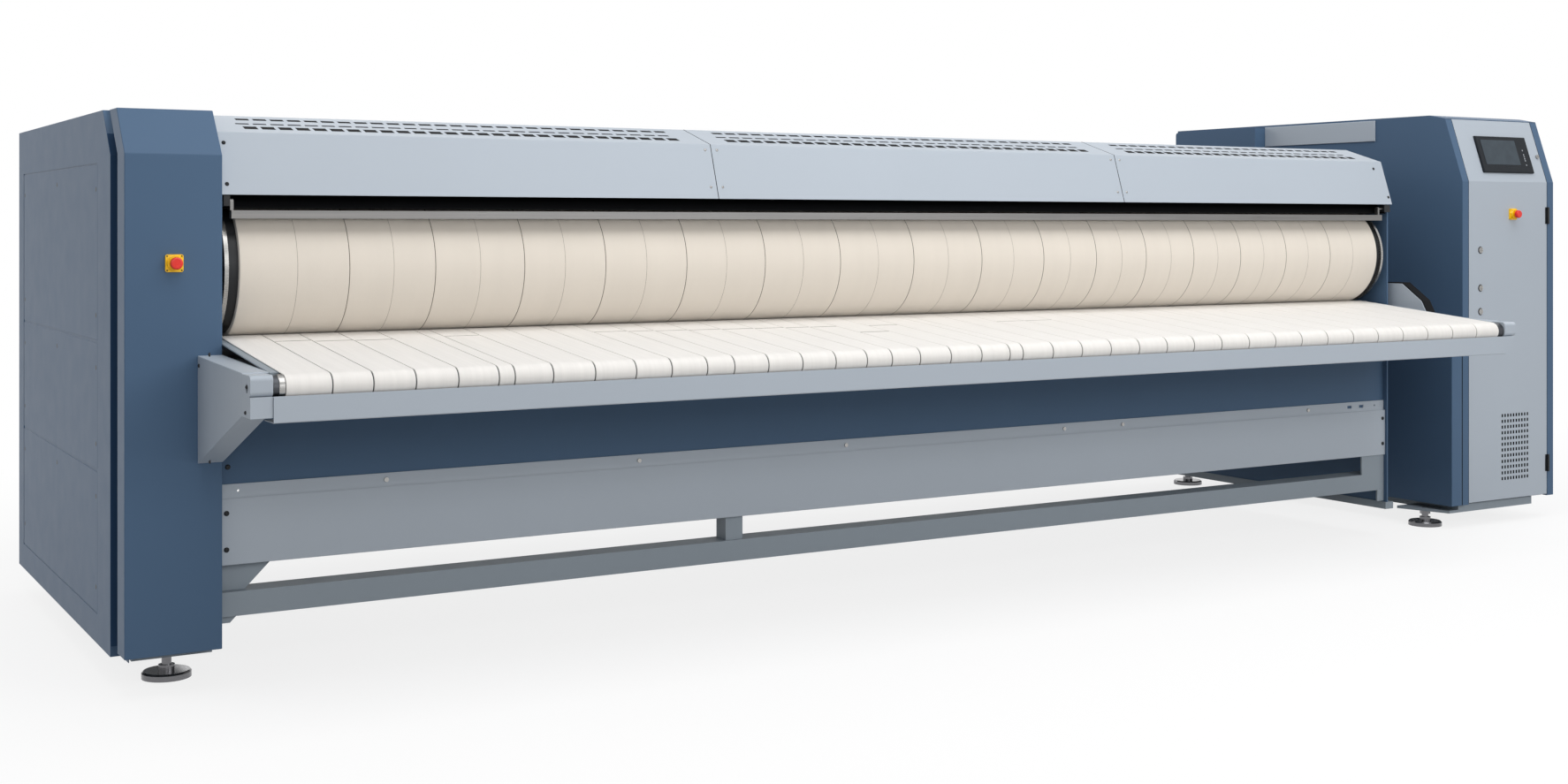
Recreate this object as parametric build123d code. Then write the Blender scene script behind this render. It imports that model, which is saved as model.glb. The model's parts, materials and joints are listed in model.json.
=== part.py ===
from build123d import *
import os
from math import atan2, cos, degrees, hypot, pi, radians, sin

# Flatwork ironer. Everything is in millimetres. The machine is laid out in its own
# coordinates: x runs from the left cabinet's outer side to the right, y runs from the front
# covers to the back, and z is up from the floor. At the end every piece is moved so that the
# origin is the middle of the machine's footprint.

# ---- widths along the machine
left_cabinet_width = 227.0
wall_thickness = 6.0
cover_to_left_wall = 38.0
roll_cover_length = 4034.0
cover_to_right_wall = 72.0
recess_width = 373.0
right_cabinet_width = 528.0

# ---- depth and heights
machine_depth = 1593.0
left_cabinet_bottom = 76.0
left_cover_bottom = 102.0
left_cabinet_height = 1412.0
front_slope_rise = 115.0
front_slope_depth = 94.0
front_cover_depth = 80.0
groove_width = 87.0
groove_depth = 25.0
right_cabinet_bottom = 86.0
right_cabinet_height = 1541.0
right_cabinet_back_margin = 90.0
door_bottom = 92.0
door_top_drop = 14.0
door_slope_rise = 237.0
door_slope_depth = 79.0
right_top_setback = 149.0

# ---- sheet metal and clearances
sheet = 2.0
panel_gap = 0.6
seat_gap = 0.3
running_gap = 0.05
corner_radius = 12.0

# ---- roll, journals and bearings
roll_y = 185.0
roll_z = 1019.0
roll_cover_radius = 175.0
roll_cover_thickness = 12.0
drum_wall = 8.0
neck_length = 25.0
end_ring_radius = 172.0
end_ring_thickness = 10.0
drum_disc_thickness = 16.0
journal_radius = 30.0
journal_reach = 66.0
bearing_radius = 62.0
bearing_width = 34.0
bearing_flange = 150.0
bearing_flange_thickness = 12.0
bearing_screw_radius = 6.0
bearing_screw_spacing = 110.0

# ---- heated chest behind and under the roll
chest_gap = 1.0
chest_thickness = 14.0
chest_front_angle = -95.0
chest_back_angle = 40.0
element_radius = 7.0
element_count = 6
jacket_thickness = 3.0

# ---- drive in the left cabinet
roll_sprocket_radius = 90.0
motor_sprocket_radius = 45.0
sprocket_width = 10.0
sprocket_hub_radius = 42.0
sprocket_hub_width = 8.0
roll_sprocket_teeth = 36
chain_thickness = 8.0
motor_y = 470.0
motor_shaft_height = 120.0
motor_shaft_radius = 14.0
gearbox_width = 110.0
gearbox_depth = 190.0
motor_radius = 62.0
motor_length = 210.0

# ---- feed table
table_reach = 480.0
table_top = 798.0
table_bottom = 692.0
fascia_top = 751.0
fascia_lip = 5.0
side_plate_back = 61.0
side_plate_top = 915.0
side_plate_shoulder = 86.0
side_plate_shoulder_height = 855.0
side_plate_front = 109.0
side_plate_thickness = 4.0
side_seal_border = 4.0
side_seal_thickness = 40.0
feed_roller_radius = 27.0
belt_thickness = 2.2
belt_edge_left = 248.0
belt_edge_right = 4338.0
belt_count = 40
belt_spacing = 3.0
rear_roller_y = 118.0
rear_roller_z = 822.5
roller_journal_radius = 10.0
bush_length = 6.0
roller_end_gap = 2.0
bracket_left_side = 169.0
bracket_right_side = 4426.0
bracket_rear_top = 813.0
bracket_rear_bottom = 554.0
bracket_end_width = 57.0
bracket_rise = 12.0
end_block_taper = 40.0
end_block_depth = 76.0
end_block_width = 50.0
bed_flange = 22.0
bed_thickness = 3.0

# ---- hood, housing and finger guard
hood_left = 227.6
hood_right = 4386.0
hood_front = 11.0
hood_bottom = 1201.0
hood_bend_y = 62.0
hood_bend_z = 1356.0
hood_roof_y = 224.0
hood_roof_z = 1405.0
hood_back = 900.0
hood_first_seam = 1606.0
hood_second_seam = 3112.0
vent_rows = ((48.0, 28.0), (88.0, 12.0), (134.0, 18.0))  # distance up the slope, slot width
vent_slot_length = 34.0
vent_slot_pitch = 44.0
vent_margin = 70.0
guard_left = 250.0
guard_right = 4325.0
guard_front = 5.0
guard_depth = 20.0
guard_bottom = 1143.0
guard_height = 20.0
guard_pivot_y = 24.0
guard_pivot_z = 1185.0
guard_pin_radius = 4.0
guard_arm = 8.0
guard_bracket_depth = 22.0
guard_bracket_height = 26.0
guard_bracket_width = 30.0
guard_arm_depth = 14.0
liner_radius = 210.0
liner_low_angle = 135.0
liner_high_angle = 82.0
rear_cover_bottom = 620.0
delivery_bottom = 760.0
delivery_top = 900.0
delivery_margin = 60.0

# ---- front frame between the cabinets
beam_front = 42.0
beam_depth = 80.0
beam_bottom = 169.0
beam_height = 60.0
beam_wall = 3.0
rear_beam_inset = 143.0
post_x = 1650.0
post_size = 55.0
right_gusset_width = 115.0
right_lug_width = 34.0
right_lug_drop = 40.0
cross_front = 36.0
cross_bottom = 296.0
cross_rail_bottom = 458.0
cross_rail_top = 493.0
cross_thickness = 3.0
cross_flange = 40.0
lower_panel_top = 755.0
wall_front = 28.0
wall_bottom = 125.0
rail_screw_height = 476.0
rail_screw_places = (650.0, 1371.0, 2053.0, 2885.0, 3131.0, 3989.0)
rail_hole_places = (276.0, 4328.0)
rail_hole_reach = 80.0
rail_slot_places = (4199.0, 4259.0)
screw_head_radius = 6.0
screw_head_height = 3.5
screw_shank_radius = 3.0

# ---- base frames and feet
left_foot_plate_bottom = 84.0
left_foot_plate_thickness = 18.0
foot_plate_thickness = 10.0
base_rail_width = 40.0
base_rail_height = 60.0
right_base_bottom = 57.0
right_recess_base_bottom = 100.0
right_base_margin = 104.0
foot_radius = 60.0
foot_thickness = 18.0
foot_collar_radius = 20.0
foot_stem_radius = 12.0
foot_nut_radius = 19.0
foot_nut_height = 14.0
left_foot_x = 143.0
left_front_foot_y = 215.0
rear_foot_inset = 113.0
right_foot_x = 4707.0
right_front_foot_y = 130.0
right_outer_foot_x = 5120.0
right_outer_foot_y = 480.0

# ---- left cabinet side panels
side_panel_front = 328.0
side_panel_back_margin = 91.0
side_panel_bottom_margin = 74.0
side_panel_top_margin = 129.0
lower_side_panel_height = 360.0
middle_side_panel_height = 324.0
side_panel_ledge = 12.0
side_panel_ledge_depth = 9.0
side_lock_inset = 22.0
side_lock_reach = 6.0

# ---- right cabinet, door and controls
strip_left_width = 35.0
strip_right_width = 39.0
door_return = 18.0
door_vent_left = 4978.0
door_vent_right = 5134.0
door_vent_bottom = 163.0
door_vent_rows = 12
door_vent_row_pitch = 21.6
door_vent_slot_height = 12.0
door_vent_columns = 10
door_vent_slot_width = 9.0
latch_x = 4857.0
latch_heights = (803.0, 891.0, 1033.0)
latch_radius = 11.0
latch_cam_length = 70.0
latch_cam_thickness = 4.0
door_frame_depth = 19.0
hinge_heights = (212.0, 1163.0)
hinge_length = 64.0
hinge_radius = 4.5
hinge_pin_radius = 2.2
hinge_axis_gap = 2.0
hinge_leaf = 12.0
hinge_leaf_thickness = 1.5
touch_left = 4886.0
touch_right = 5178.0
touch_low = 35.0
touch_height = 146.0
touch_depth = 9.0
key_x = 5228.0
key_along_slope = 104.0
key_radius = 8.0
estop_left_x = 113.5
estop_left_z = 1036.0
estop_right_x = 5041.0
estop_right_drop = 122.0
estop_plate = 42.0
estop_plate_thickness = 5.0
estop_collar_radius = 18.0
estop_collar_height = 10.0
estop_head_radius = 14.5
estop_head_height = 12.0
estop_stem_radius = 6.0
estop_travel = 5.0
estop_body_depth = 45.0
recess_box_depth = 1500.0
recess_box_width = 60.0
recess_box_top = 715.0
duct_plate_front = 405.0
duct_plate_back = 981.0
duct_plate_drop = 7.0
duct_plate_height = 81.0
duct_plate_thickness = 6.0
rear_box_width = 62.0
rear_box_back_margin = 143.0
rear_box_drop = 12.0
rear_box_height = 149.0

# ---- electrical equipment in the right cabinet
gear_margin = 60.0
gear_plate_y = 620.0
gear_plate_thickness = 3.0
gear_plate_drop = 60.0
inverter_inset = 40.0
inverter_width = 180.0
inverter_depth = 160.0
inverter_bottom = 820.0
inverter_height = 300.0
contactor_count = 5
contactor_pitch = 66.0
contactor_width = 54.0
contactor_height = 95.0
contactor_depth = 90.0
contactor_step = 20.0
contactor_rows = (260.0, 480.0)
wiring_duct_rows = (200.0, 400.0, 640.0)
wiring_duct_inset = 20.0
wiring_duct_height = 40.0
wiring_duct_depth = 60.0

# ---- exhaust fan in the recess
fan_y = 800.0
fan_z = 1150.0
fan_housing_radius = 180.0
fan_housing_width = 150.0
fan_inlet_radius = 90.0
impeller_radius = 140.0
impeller_width = 80.0
impeller_blades = 12
fan_shaft_radius = 12.0
fan_motor_radius = 70.0
fan_motor_length = 130.0
fan_outlet_top = 1440.0
fan_outlet_depth = 120.0

# ---- places that follow from the sizes above
left_wall_x = left_cabinet_width
section_left = left_wall_x + wall_thickness
cover_left = section_left + cover_to_left_wall
cover_right = cover_left + roll_cover_length
section_right = cover_right + cover_to_right_wall
right_wall_outer = section_right + wall_thickness
right_cabinet_x = right_wall_outer + recess_width
machine_length = right_cabinet_x + right_cabinet_width
casing_front = front_cover_depth + groove_width
front_bend_height = left_cabinet_height - front_slope_rise
door_slope_top = right_cabinet_height - door_top_drop
door_bend_height = door_slope_top - door_slope_rise
estop_right_z = door_bend_height - estop_right_drop
rear_foot_y = machine_depth - rear_foot_inset
right_cabinet_back = machine_depth - right_cabinet_back_margin
right_rear_foot_y = right_cabinet_back - rear_foot_inset
rear_beam_y = machine_depth - rear_beam_inset
side_panel_back = machine_depth - side_panel_back_margin
side_panel_bottom = left_cabinet_bottom + side_panel_bottom_margin
middle_side_panel_bottom = side_panel_bottom + lower_side_panel_height
top_side_panel_bottom = middle_side_panel_bottom + middle_side_panel_height
side_panel_top = left_cabinet_height - side_panel_top_margin
side_panel_levels = (side_panel_bottom, middle_side_panel_bottom, top_side_panel_bottom,
                     side_panel_top)
duct_plate_top = right_cabinet_height - duct_plate_drop
duct_plate_bottom = duct_plate_top - duct_plate_height
rear_box_top = right_cabinet_height - rear_box_drop
rear_box_bottom = rear_box_top - rear_box_height
rear_box_back = machine_depth - rear_box_back_margin
drum_radius = roll_cover_radius - roll_cover_thickness
drum_left = cover_left - neck_length
drum_right = cover_right + neck_length
belt_radius = feed_roller_radius + seat_gap + belt_thickness
front_roller_y = belt_radius - table_reach + 4.0
front_roller_z = table_top - belt_radius
chest_inner = roll_cover_radius + chest_gap
chest_outer = chest_inner + chest_thickness
hood_lip = wall_front - hood_front - panel_gap


def box(x0, x1, y0, y1, z0, z1):
    """Block between two corners."""
    block = Box(x1 - x0, y1 - y0, z1 - z0)
    return Pos((x0 + x1) / 2, (y0 + y1) / 2, (z0 + z1) / 2) * block


def rod(x0, x1, y, z, radius):
    """Round bar along x."""
    return Pos((x0 + x1) / 2, y, z) * Rot(0, 90, 0) * Cylinder(radius, x1 - x0)


def pipe(x0, x1, y, z, outer, inner):
    """Tube along x."""
    return rod(x0, x1, y, z, outer) - rod(x0 - 1, x1 + 1, y, z, inner)


def across(x, y0, y1, z, radius):
    """Round bar along y."""
    return Pos(x, (y0 + y1) / 2, z) * Rot(90, 0, 0) * Cylinder(radius, y1 - y0)


def post(x, y, z0, z1, radius):
    """Upright round bar."""
    return Pos(x, y, (z0 + z1) / 2) * Cylinder(radius, z1 - z0)


def profile(points, x0, x1):
    """Solid with a (y, z) outline, from x0 to x1."""
    outline = make_face(Polyline(*points, close=True))
    return extrude(Plane.YZ.offset(x0) * outline, amount=x1 - x0)


def plate(points, y0, y1):
    """Solid with an (x, z) outline, from y0 back to y1."""
    outline = make_face(Polyline(*[(x, y0, z) for x, z in points], close=True))
    return extrude(outline, amount=y1 - y0, dir=(0, 1, 0))


def beside(points, distance):
    """The (y, z) line moved sideways to its right, with its corners mitred."""
    moved = []
    for i, (y, z) in enumerate(points):
        y0, z0 = points[max(i - 1, 0)]
        y1, z1 = points[min(i + 1, len(points) - 1)]
        into = atan2(z - z0, y - y0) if i > 0 else atan2(z1 - z, y1 - y)
        out = atan2(z1 - z, y1 - y) if i < len(points) - 1 else into
        half = (out - into + pi) % (2 * pi) / 2 - pi / 2
        reach = distance / cos(half)
        moved.append((y + reach * sin(into + half), z - reach * cos(into + half)))
    return moved


def bent_sheet(points, thickness, x0, x1):
    """Sheet bent along a (y, z) line, with its thickness to the right of the line."""
    return profile(points + beside(points, thickness)[::-1], x0, x1)


def on_circle(radius, angle, y=roll_y, z=roll_z):
    """Point on a circle about the roll's axis, with the angle up from the back."""
    return (y + radius * cos(radians(angle)), z + radius * sin(radians(angle)))


def arc_sheet(inner, outer, low, high, x0, x1):
    """Curved sheet about the roll's axis between two angles."""
    middle = (low + high) / 2
    outside = ThreePointArc(*[on_circle(outer, a) for a in (low, middle, high)])
    inside = ThreePointArc(*[on_circle(inner, a) for a in (high, middle, low)])
    ends = [Line(outside @ 1, inside @ 0), Line(inside @ 1, outside @ 0)]
    outline = make_face([outside, inside] + ends)
    return extrude(Plane.YZ.offset(x0) * outline, amount=x1 - x0)


def loop_outline(first, second, first_radius, second_radius):
    """Outline of a belt's path round two (y, z) centres."""
    circles = [Pos(*first) * Circle(first_radius), Pos(*second) * Circle(second_radius)]
    return make_hull([edge for circle in circles for edge in circle.edges()])


def belt_loop(first, second, first_radius, second_radius, thickness, x0, x1):
    """Closed belt or chain round two wheels."""
    outer = loop_outline(first, second, first_radius + thickness, second_radius + thickness)
    inner = loop_outline(first, second, first_radius, second_radius)
    return extrude(Plane.YZ.offset(x0) * (outer - inner), amount=x1 - x0)


def save(name, *solids):
    """Write one sub-part, moved so that the origin is the middle of the footprint."""
    middle = Pos(-machine_length / 2, -(machine_depth - table_reach) / 2, 0)
    pieces = [middle * piece for solid in solids for piece in solid.solids()]
    export_step(Compound(children=pieces), "parts/" + name + ".step")


# ---- base frames, feet and beams
def feet_places():
    """Centre of each foot and the underside of the plate that it carries."""
    return (
        (left_foot_x, left_front_foot_y, left_foot_plate_bottom),
        (left_foot_x, rear_foot_y, left_foot_plate_bottom),
        (right_foot_x, right_front_foot_y, right_base_bottom),
        (right_foot_x, right_rear_foot_y, right_base_bottom),
        (right_outer_foot_x, right_outer_foot_y, right_base_bottom),
        (right_outer_foot_x, right_rear_foot_y, right_base_bottom),
    )


def stem_holes():
    """The threaded holes for the feet's stems."""
    radius = foot_stem_radius + running_gap
    reach = left_foot_plate_thickness + 1
    return [post(x, y, 0, z + reach, radius) for x, y, z in feet_places()]


def levelling_feet():
    """Round feet with their collars and stems, and a lock nut under each plate."""
    pieces = []
    for x, y, z in feet_places():
        disc = post(x, y, 0, foot_thickness, foot_radius)
        disc = chamfer(disc.edges().sort_by(Axis.Z)[-1], foot_thickness / 4)
        collar = post(x, y, foot_thickness, foot_thickness + foot_nut_height, foot_collar_radius)
        stem = post(x, y, foot_thickness, z + foot_plate_thickness, foot_stem_radius)
        pieces.append(disc + collar + stem)
        flats = RegularPolygon(foot_nut_radius, 6) - Circle(foot_stem_radius + running_gap)
        pieces.append(extrude(Pos(x, y, z - foot_nut_height) * flats, amount=foot_nut_height))
    return pieces


def left_base_frame():
    """Two rails along the cabinet, joined by a plate over each foot."""
    top = left_foot_plate_bottom + left_foot_plate_thickness
    inset = 10.0
    left_rail = inset + sheet
    right_rail = left_wall_x - base_rail_width
    rail_front = casing_front + sheet + inset
    rail_back = machine_depth - sheet - inset
    frame = box(left_rail, left_rail + base_rail_width, rail_front, rail_back, top,
                top + base_rail_height)
    frame += box(right_rail, left_wall_x, rail_front, rail_back, top, top + base_rail_height)
    plate_half = 140.0
    bottom = left_foot_plate_bottom
    channel = groove_depth + sheet + panel_gap
    front_plate = (channel, left_wall_x - inset, inset * 6, left_front_foot_y + plate_half)
    frame += box(*front_plate, bottom, top)
    rear_plate = (left_rail, left_wall_x, rear_foot_y - plate_half, rail_back)
    frame += box(*rear_plate, bottom, top)
    cross = (left_rail, left_wall_x, motor_y - plate_half, motor_y + plate_half)
    frame += box(*cross, bottom, top)
    for hole in stem_holes():
        frame -= hole
    return [frame]


def right_base_frame():
    """Rails under the right cabinet and the right end wall, with plates over the feet."""
    top = right_cabinet_bottom
    back = right_rear_foot_y + foot_radius
    rail = base_rail_width
    bottom = right_base_bottom
    inset = 20.0
    outer = machine_length - right_base_margin
    frame = box(right_cabinet_x, outer, inset, inset + rail, bottom, top)
    frame += box(right_cabinet_x, outer, back - rail, back, bottom, top)
    frame += box(right_cabinet_x, right_cabinet_x + rail, inset, back, bottom, top)
    frame += box(outer - rail, outer, inset, back, bottom, top)
    plate_top = bottom + foot_plate_thickness
    front_back = right_front_foot_y + foot_radius + inset
    front_plate = [(right_cabinet_x + rail, inset), (right_foot_x, inset),
                   (right_foot_x - foot_radius, front_back), (right_cabinet_x + rail, front_back)]
    outline = make_face(Polyline(*[(x, y, bottom) for x, y in front_plate], close=True))
    frame += extrude(outline, amount=foot_plate_thickness, dir=(0, 0, 1))
    rear_plate = (right_rear_foot_y - foot_radius, back)
    outer_plate = (right_outer_foot_y - foot_radius, right_outer_foot_y + foot_radius)
    wall_rail = (section_right - wall_thickness, section_right - wall_thickness + rail)
    frame += box(wall_rail[0], right_cabinet_x + rail, *rear_plate, bottom, plate_top)
    frame += box(*wall_rail, *rear_plate, plate_top, right_recess_base_bottom)
    for y0, y1 in (rear_plate, outer_plate):
        frame += box(right_cabinet_x, outer, y0, y1, bottom, plate_top)
    frame += box(*wall_rail, wall_front, back, right_recess_base_bottom, wall_bottom)
    for hole in stem_holes():
        frame -= hole
    return [frame]


def lower_beams():
    """Square tubes between the end walls, the short post and the corner plates."""
    pieces = []
    beam_top = beam_bottom + beam_height
    for y in (beam_front, rear_beam_y):
        outer = box(section_left, section_right, y, y + beam_depth, beam_bottom, beam_top)
        inner = box(section_left - 1, section_right + 1, y + beam_wall,
                    y + beam_depth - beam_wall, beam_bottom + beam_wall, beam_top - beam_wall)
        pieces.append(outer - inner)
    pieces.append(box(post_x, post_x + post_size, beam_front + 8, beam_front + 8 + post_size,
                      beam_top, cross_bottom))
    gusset = [(section_left, beam_top), (section_left + 66, beam_top),
              (section_left + 66 + cross_bottom - beam_top, cross_bottom),
              (section_left, cross_bottom)]
    gusset_y = cross_front + cross_flange - wall_thickness
    pieces.append(plate(gusset, gusset_y, gusset_y + wall_thickness))
    pieces.append(box(section_right - right_gusset_width, section_right, beam_front,
                      beam_front + wall_thickness, beam_top, cross_bottom))
    drop = 17.0
    lug = [(section_left, beam_bottom), (section_left + 42, beam_bottom),
           (section_left + 42 - drop, beam_bottom - drop), (section_left, beam_bottom - drop)]
    pieces.append(plate(lug, beam_front + 10, beam_front + beam_depth - 10))
    lug_left = section_right - right_lug_width
    pieces.append(box(lug_left, section_right, beam_front, beam_front + wall_thickness,
                      beam_bottom - right_lug_drop, beam_bottom))
    return pieces


# ---- end walls and the housing between them
def housing_line():
    """Outer (y, z) line of the hood and the rear cover, from the front lip to the back."""
    return [(hood_front + hood_lip, hood_bottom), (hood_front, hood_bottom),
            (hood_bend_y, hood_bend_z), (hood_roof_y, hood_roof_z),
            (machine_depth, hood_roof_z), (machine_depth, rear_cover_bottom)]


def end_wall(x0):
    """Wall plate that carries the roll, the chest, the beams and the covers."""
    under = beside(housing_line()[1:5], sheet + seat_gap)
    front_top = under[0][1] + (wall_front - under[0][0]) * (
        under[1][1] - under[0][1]) / (under[1][0] - under[0][0])
    back = machine_depth - sheet - seat_gap
    outline = [(wall_front, wall_bottom), (wall_front, front_top), under[1], under[2],
               (back, under[2][1]), (back, wall_bottom)]
    wall = profile(outline, x0, x0 + wall_thickness)
    wall -= rod(x0 - 1, x0 + wall_thickness + 1, roll_y, roll_z, bearing_radius - 12)
    spread = bearing_screw_spacing / 2
    for dy in (-spread, spread):
        for dz in (-spread, spread):
            wall -= rod(x0 - 1, x0 + wall_thickness + 1, roll_y + dy, roll_z + dz,
                        bearing_screw_radius)
    return wall


def rear_roller_bush(x0):
    """Short bush welded to a wall for the rear feed roller."""
    return pipe(x0, x0 + bush_length, rear_roller_y, rear_roller_z, roller_journal_radius + 8,
                roller_journal_radius + running_gap)


def left_end_wall():
    return [end_wall(left_wall_x) + rear_roller_bush(section_left)]


def right_end_wall():
    """The right wall also has the exhaust fan's inlet."""
    wall = end_wall(section_right) + rear_roller_bush(section_right - bush_length)
    inlet = rod(section_right - 1, right_wall_outer + 1, fan_y, fan_z, fan_inlet_radius)
    return [wall - inlet]


def vent_slots(x0, x1):
    """Rows of slots in the sloping roof sheet, with the rows staggered."""
    slope = atan2(hood_roof_z - hood_bend_z, hood_roof_y - hood_bend_y)
    cutters = []
    columns = int((x1 - x0 - 2 * vent_margin) / vent_slot_pitch)
    first = (x0 + x1 - columns * vent_slot_pitch) / 2
    for row, (along, width) in enumerate(vent_rows):
        y = hood_bend_y + along * cos(slope)
        z = hood_bend_z + along * sin(slope)
        for column in range(columns):
            x = first + vent_slot_pitch * (column + (0.25 if row % 2 else 0.5))
            slot = Box(vent_slot_length, width, 8 * sheet)
            cutters.append(Pos(x, y, z) * Rot(degrees(slope), 0, 0) * slot)
    return cutters


def hood_panels():
    """Three bent front covers with vent slots, end to end over the roll."""
    line = housing_line()[:4] + [(hood_back, hood_roof_z)]
    edges = (hood_left, hood_first_seam, hood_second_seam, hood_right)
    pieces = []
    for x0, x1 in zip(edges, edges[1:]):
        right = x1 if x1 == hood_right else x1 - panel_gap
        panel = bent_sheet(line, sheet, x0, right)
        pieces.append(panel - Compound(children=vent_slots(x0, right)))
    return pieces


def rear_cover():
    """Flat roof and back of the housing, with the slot where the linen comes out."""
    line = [(hood_back + panel_gap, hood_roof_z)] + housing_line()[4:]
    cover = bent_sheet(line, sheet, hood_left, hood_right)
    slot = box(section_left + delivery_margin, section_right - delivery_margin,
               machine_depth - 10, machine_depth + 1, delivery_bottom, delivery_top)
    return [cover - slot]


def hood_liner():
    """Dark curved sheet between the roll and the hood."""
    return [arc_sheet(liner_radius, liner_radius + sheet, liner_high_angle, liner_low_angle,
                      section_left, section_right)]


def delivery_chute():
    """Smooth sheet that the linen slides down, from the stripper bar to the rear slot."""
    top_y, top_z = on_circle(chest_outer + 20, chest_back_angle - 4)
    line = [(top_y, top_z), (top_y + 90, top_z), (machine_depth - 130, delivery_bottom + 30),
            (machine_depth - sheet - seat_gap, delivery_bottom + 12)]
    return [bent_sheet(line, sheet, section_left, section_right)]


def stripper_bar():
    """Bar with fingers that lift the linen off the roll."""
    bar_y, bar_z = on_circle(roll_cover_radius + 60, 58)
    bar_radius = 12.0
    bar = rod(section_left, section_right, bar_y, bar_z, bar_radius)
    tip = on_circle(roll_cover_radius + 3, 50)
    heel = on_circle(roll_cover_radius + 16, 44)
    finger = [tip, (bar_y - bar_radius, bar_z), (bar_y + bar_radius, bar_z), heel]
    count = 20
    pitch = roll_cover_length / count
    for i in range(count):
        x = cover_left + pitch * (i + 0.5)
        bar += profile(finger, x - 2, x + 2)
    return [bar]


# ---- roll
def roll_drum():
    """Steel drum with its end discs and journals."""
    tube = pipe(drum_left, drum_right, roll_y, roll_z, drum_radius, drum_radius - drum_wall)
    left_end = drum_left - end_ring_thickness
    right_end = drum_right + end_ring_thickness
    for x in (drum_left, drum_right - drum_disc_thickness):
        tube += rod(x, x + drum_disc_thickness, roll_y, roll_z, drum_radius)
    journals = rod(section_left - journal_reach, left_end, roll_y, roll_z, journal_radius)
    journals += rod(left_end, drum_left, roll_y, roll_z, journal_radius * 1.5)
    journals += rod(drum_right, right_end, roll_y, roll_z, journal_radius * 1.5)
    journals += rod(right_end, right_wall_outer + journal_reach, roll_y, roll_z, journal_radius)
    return [tube + journals]


def roll_cover():
    """Padding and cloth wound round the drum, as one plain sleeve."""
    inner = drum_radius + running_gap
    sleeve = pipe(cover_left, cover_right, roll_y, roll_z, roll_cover_radius, inner)
    return [sleeve]


def roll_end_rings():
    """Polished flange on each end of the drum."""
    inner = journal_radius * 1.5 + running_gap
    left = (drum_left - end_ring_thickness, drum_left)
    right = (drum_right, drum_right + end_ring_thickness)
    return [pipe(*span, roll_y, roll_z, end_ring_radius, inner) for span in (left, right)]


def roll_bearings():
    """Flanged housings bolted to the outer face of each end wall."""
    pieces = []
    for x, side in ((left_wall_x, -1), (right_wall_outer, 1)):
        flange = Box(bearing_flange_thickness, bearing_flange, bearing_flange)
        flange = Pos(x + side * bearing_flange_thickness / 2, roll_y, roll_z) * flange
        far = x + side * bearing_width
        housing = flange + rod(min(x, far), max(x, far), roll_y, roll_z, bearing_radius)
        housing -= rod(x - bearing_flange, x + bearing_flange, roll_y, roll_z,
                       journal_radius + running_gap)
        spread = bearing_screw_spacing / 2
        for dy in (-spread, spread):
            for dz in (-spread, spread):
                housing -= rod(x - bearing_flange_thickness - 1, x + bearing_flange_thickness + 1,
                               roll_y + dy, roll_z + dz, bearing_screw_radius)
        pieces.append(housing)
    return pieces


# ---- heated chest
def heated_chest():
    """Concave steel bed that the roll turns in."""
    return [arc_sheet(chest_inner, chest_outer, chest_front_angle, chest_back_angle,
                      section_left, section_right)]


def heating_elements():
    """Tubular elements along the outside of the chest."""
    pieces = []
    span = chest_back_angle - chest_front_angle
    for i in range(element_count):
        angle = chest_front_angle + span * (i + 0.5) / element_count
        y, z = on_circle(chest_outer + element_radius + seat_gap, angle)
        pieces.append(rod(section_left, section_right, y, z, element_radius))
    return pieces


def chest_jacket():
    """Insulated skin round the elements."""
    inner = chest_outer + 2 * element_radius + 2 * seat_gap
    return [arc_sheet(inner, inner + jacket_thickness, chest_front_angle, chest_back_angle - 8,
                      section_left, section_right)]


# ---- drive
def sprocket(x, y, z, radius, bore, teeth):
    """Chain wheel on its hub, with a roller seat between each pair of teeth."""
    wheel = rod(x, x + sprocket_width, y, z, radius)
    wheel += rod(x - sprocket_hub_width, x, y, z, min(sprocket_hub_radius, radius * 0.7))
    seat = pi * radius / teeth * 0.55
    cutters = []
    for i in range(teeth):
        turn = 2 * pi * i / teeth
        cutters.append(rod(x - 1, x + sprocket_width + 1, y + radius * cos(turn),
                           z + radius * sin(turn), seat))
    wheel -= Compound(children=cutters)
    return wheel - rod(x - sprocket_hub_width - 1, x + sprocket_width + 1, y, z, bore)


def sprocket_x():
    """Left face of both chain wheels."""
    return left_wall_x - bearing_width - 2 - sprocket_width


def left_base_top():
    """Top of the left cabinet's base rails."""
    return left_foot_plate_bottom + left_foot_plate_thickness + base_rail_height


def motor_z():
    """Height of the gearmotor's shaft."""
    return left_base_top() + motor_shaft_height


def roll_sprocket():
    return [sprocket(sprocket_x(), roll_y, roll_z, roll_sprocket_radius,
                     journal_radius + running_gap, roll_sprocket_teeth)]


def motor_sprocket():
    """Small chain wheel with the gearbox's output shaft through it."""
    teeth = round(roll_sprocket_teeth * motor_sprocket_radius / roll_sprocket_radius)
    wheel = sprocket(sprocket_x(), motor_y, motor_z(), motor_sprocket_radius,
                     motor_shaft_radius, teeth)
    right = sprocket_x() + sprocket_width
    return [wheel + rod(gearbox_right() - 30, right, motor_y, motor_z(), motor_shaft_radius)]


def drive_chain():
    """Chain round both wheels, as one closed strip over their teeth."""
    inset = (sprocket_width - 6) / 2
    return [belt_loop((roll_y, roll_z), (motor_y, motor_z()), roll_sprocket_radius + seat_gap,
                      motor_sprocket_radius + seat_gap, chain_thickness,
                      sprocket_x() + inset, sprocket_x() + sprocket_width - inset)]


def gearbox_right():
    """Right face of the gearbox, clear of the chain wheel's hub."""
    return sprocket_x() - sprocket_hub_width - 4


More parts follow.
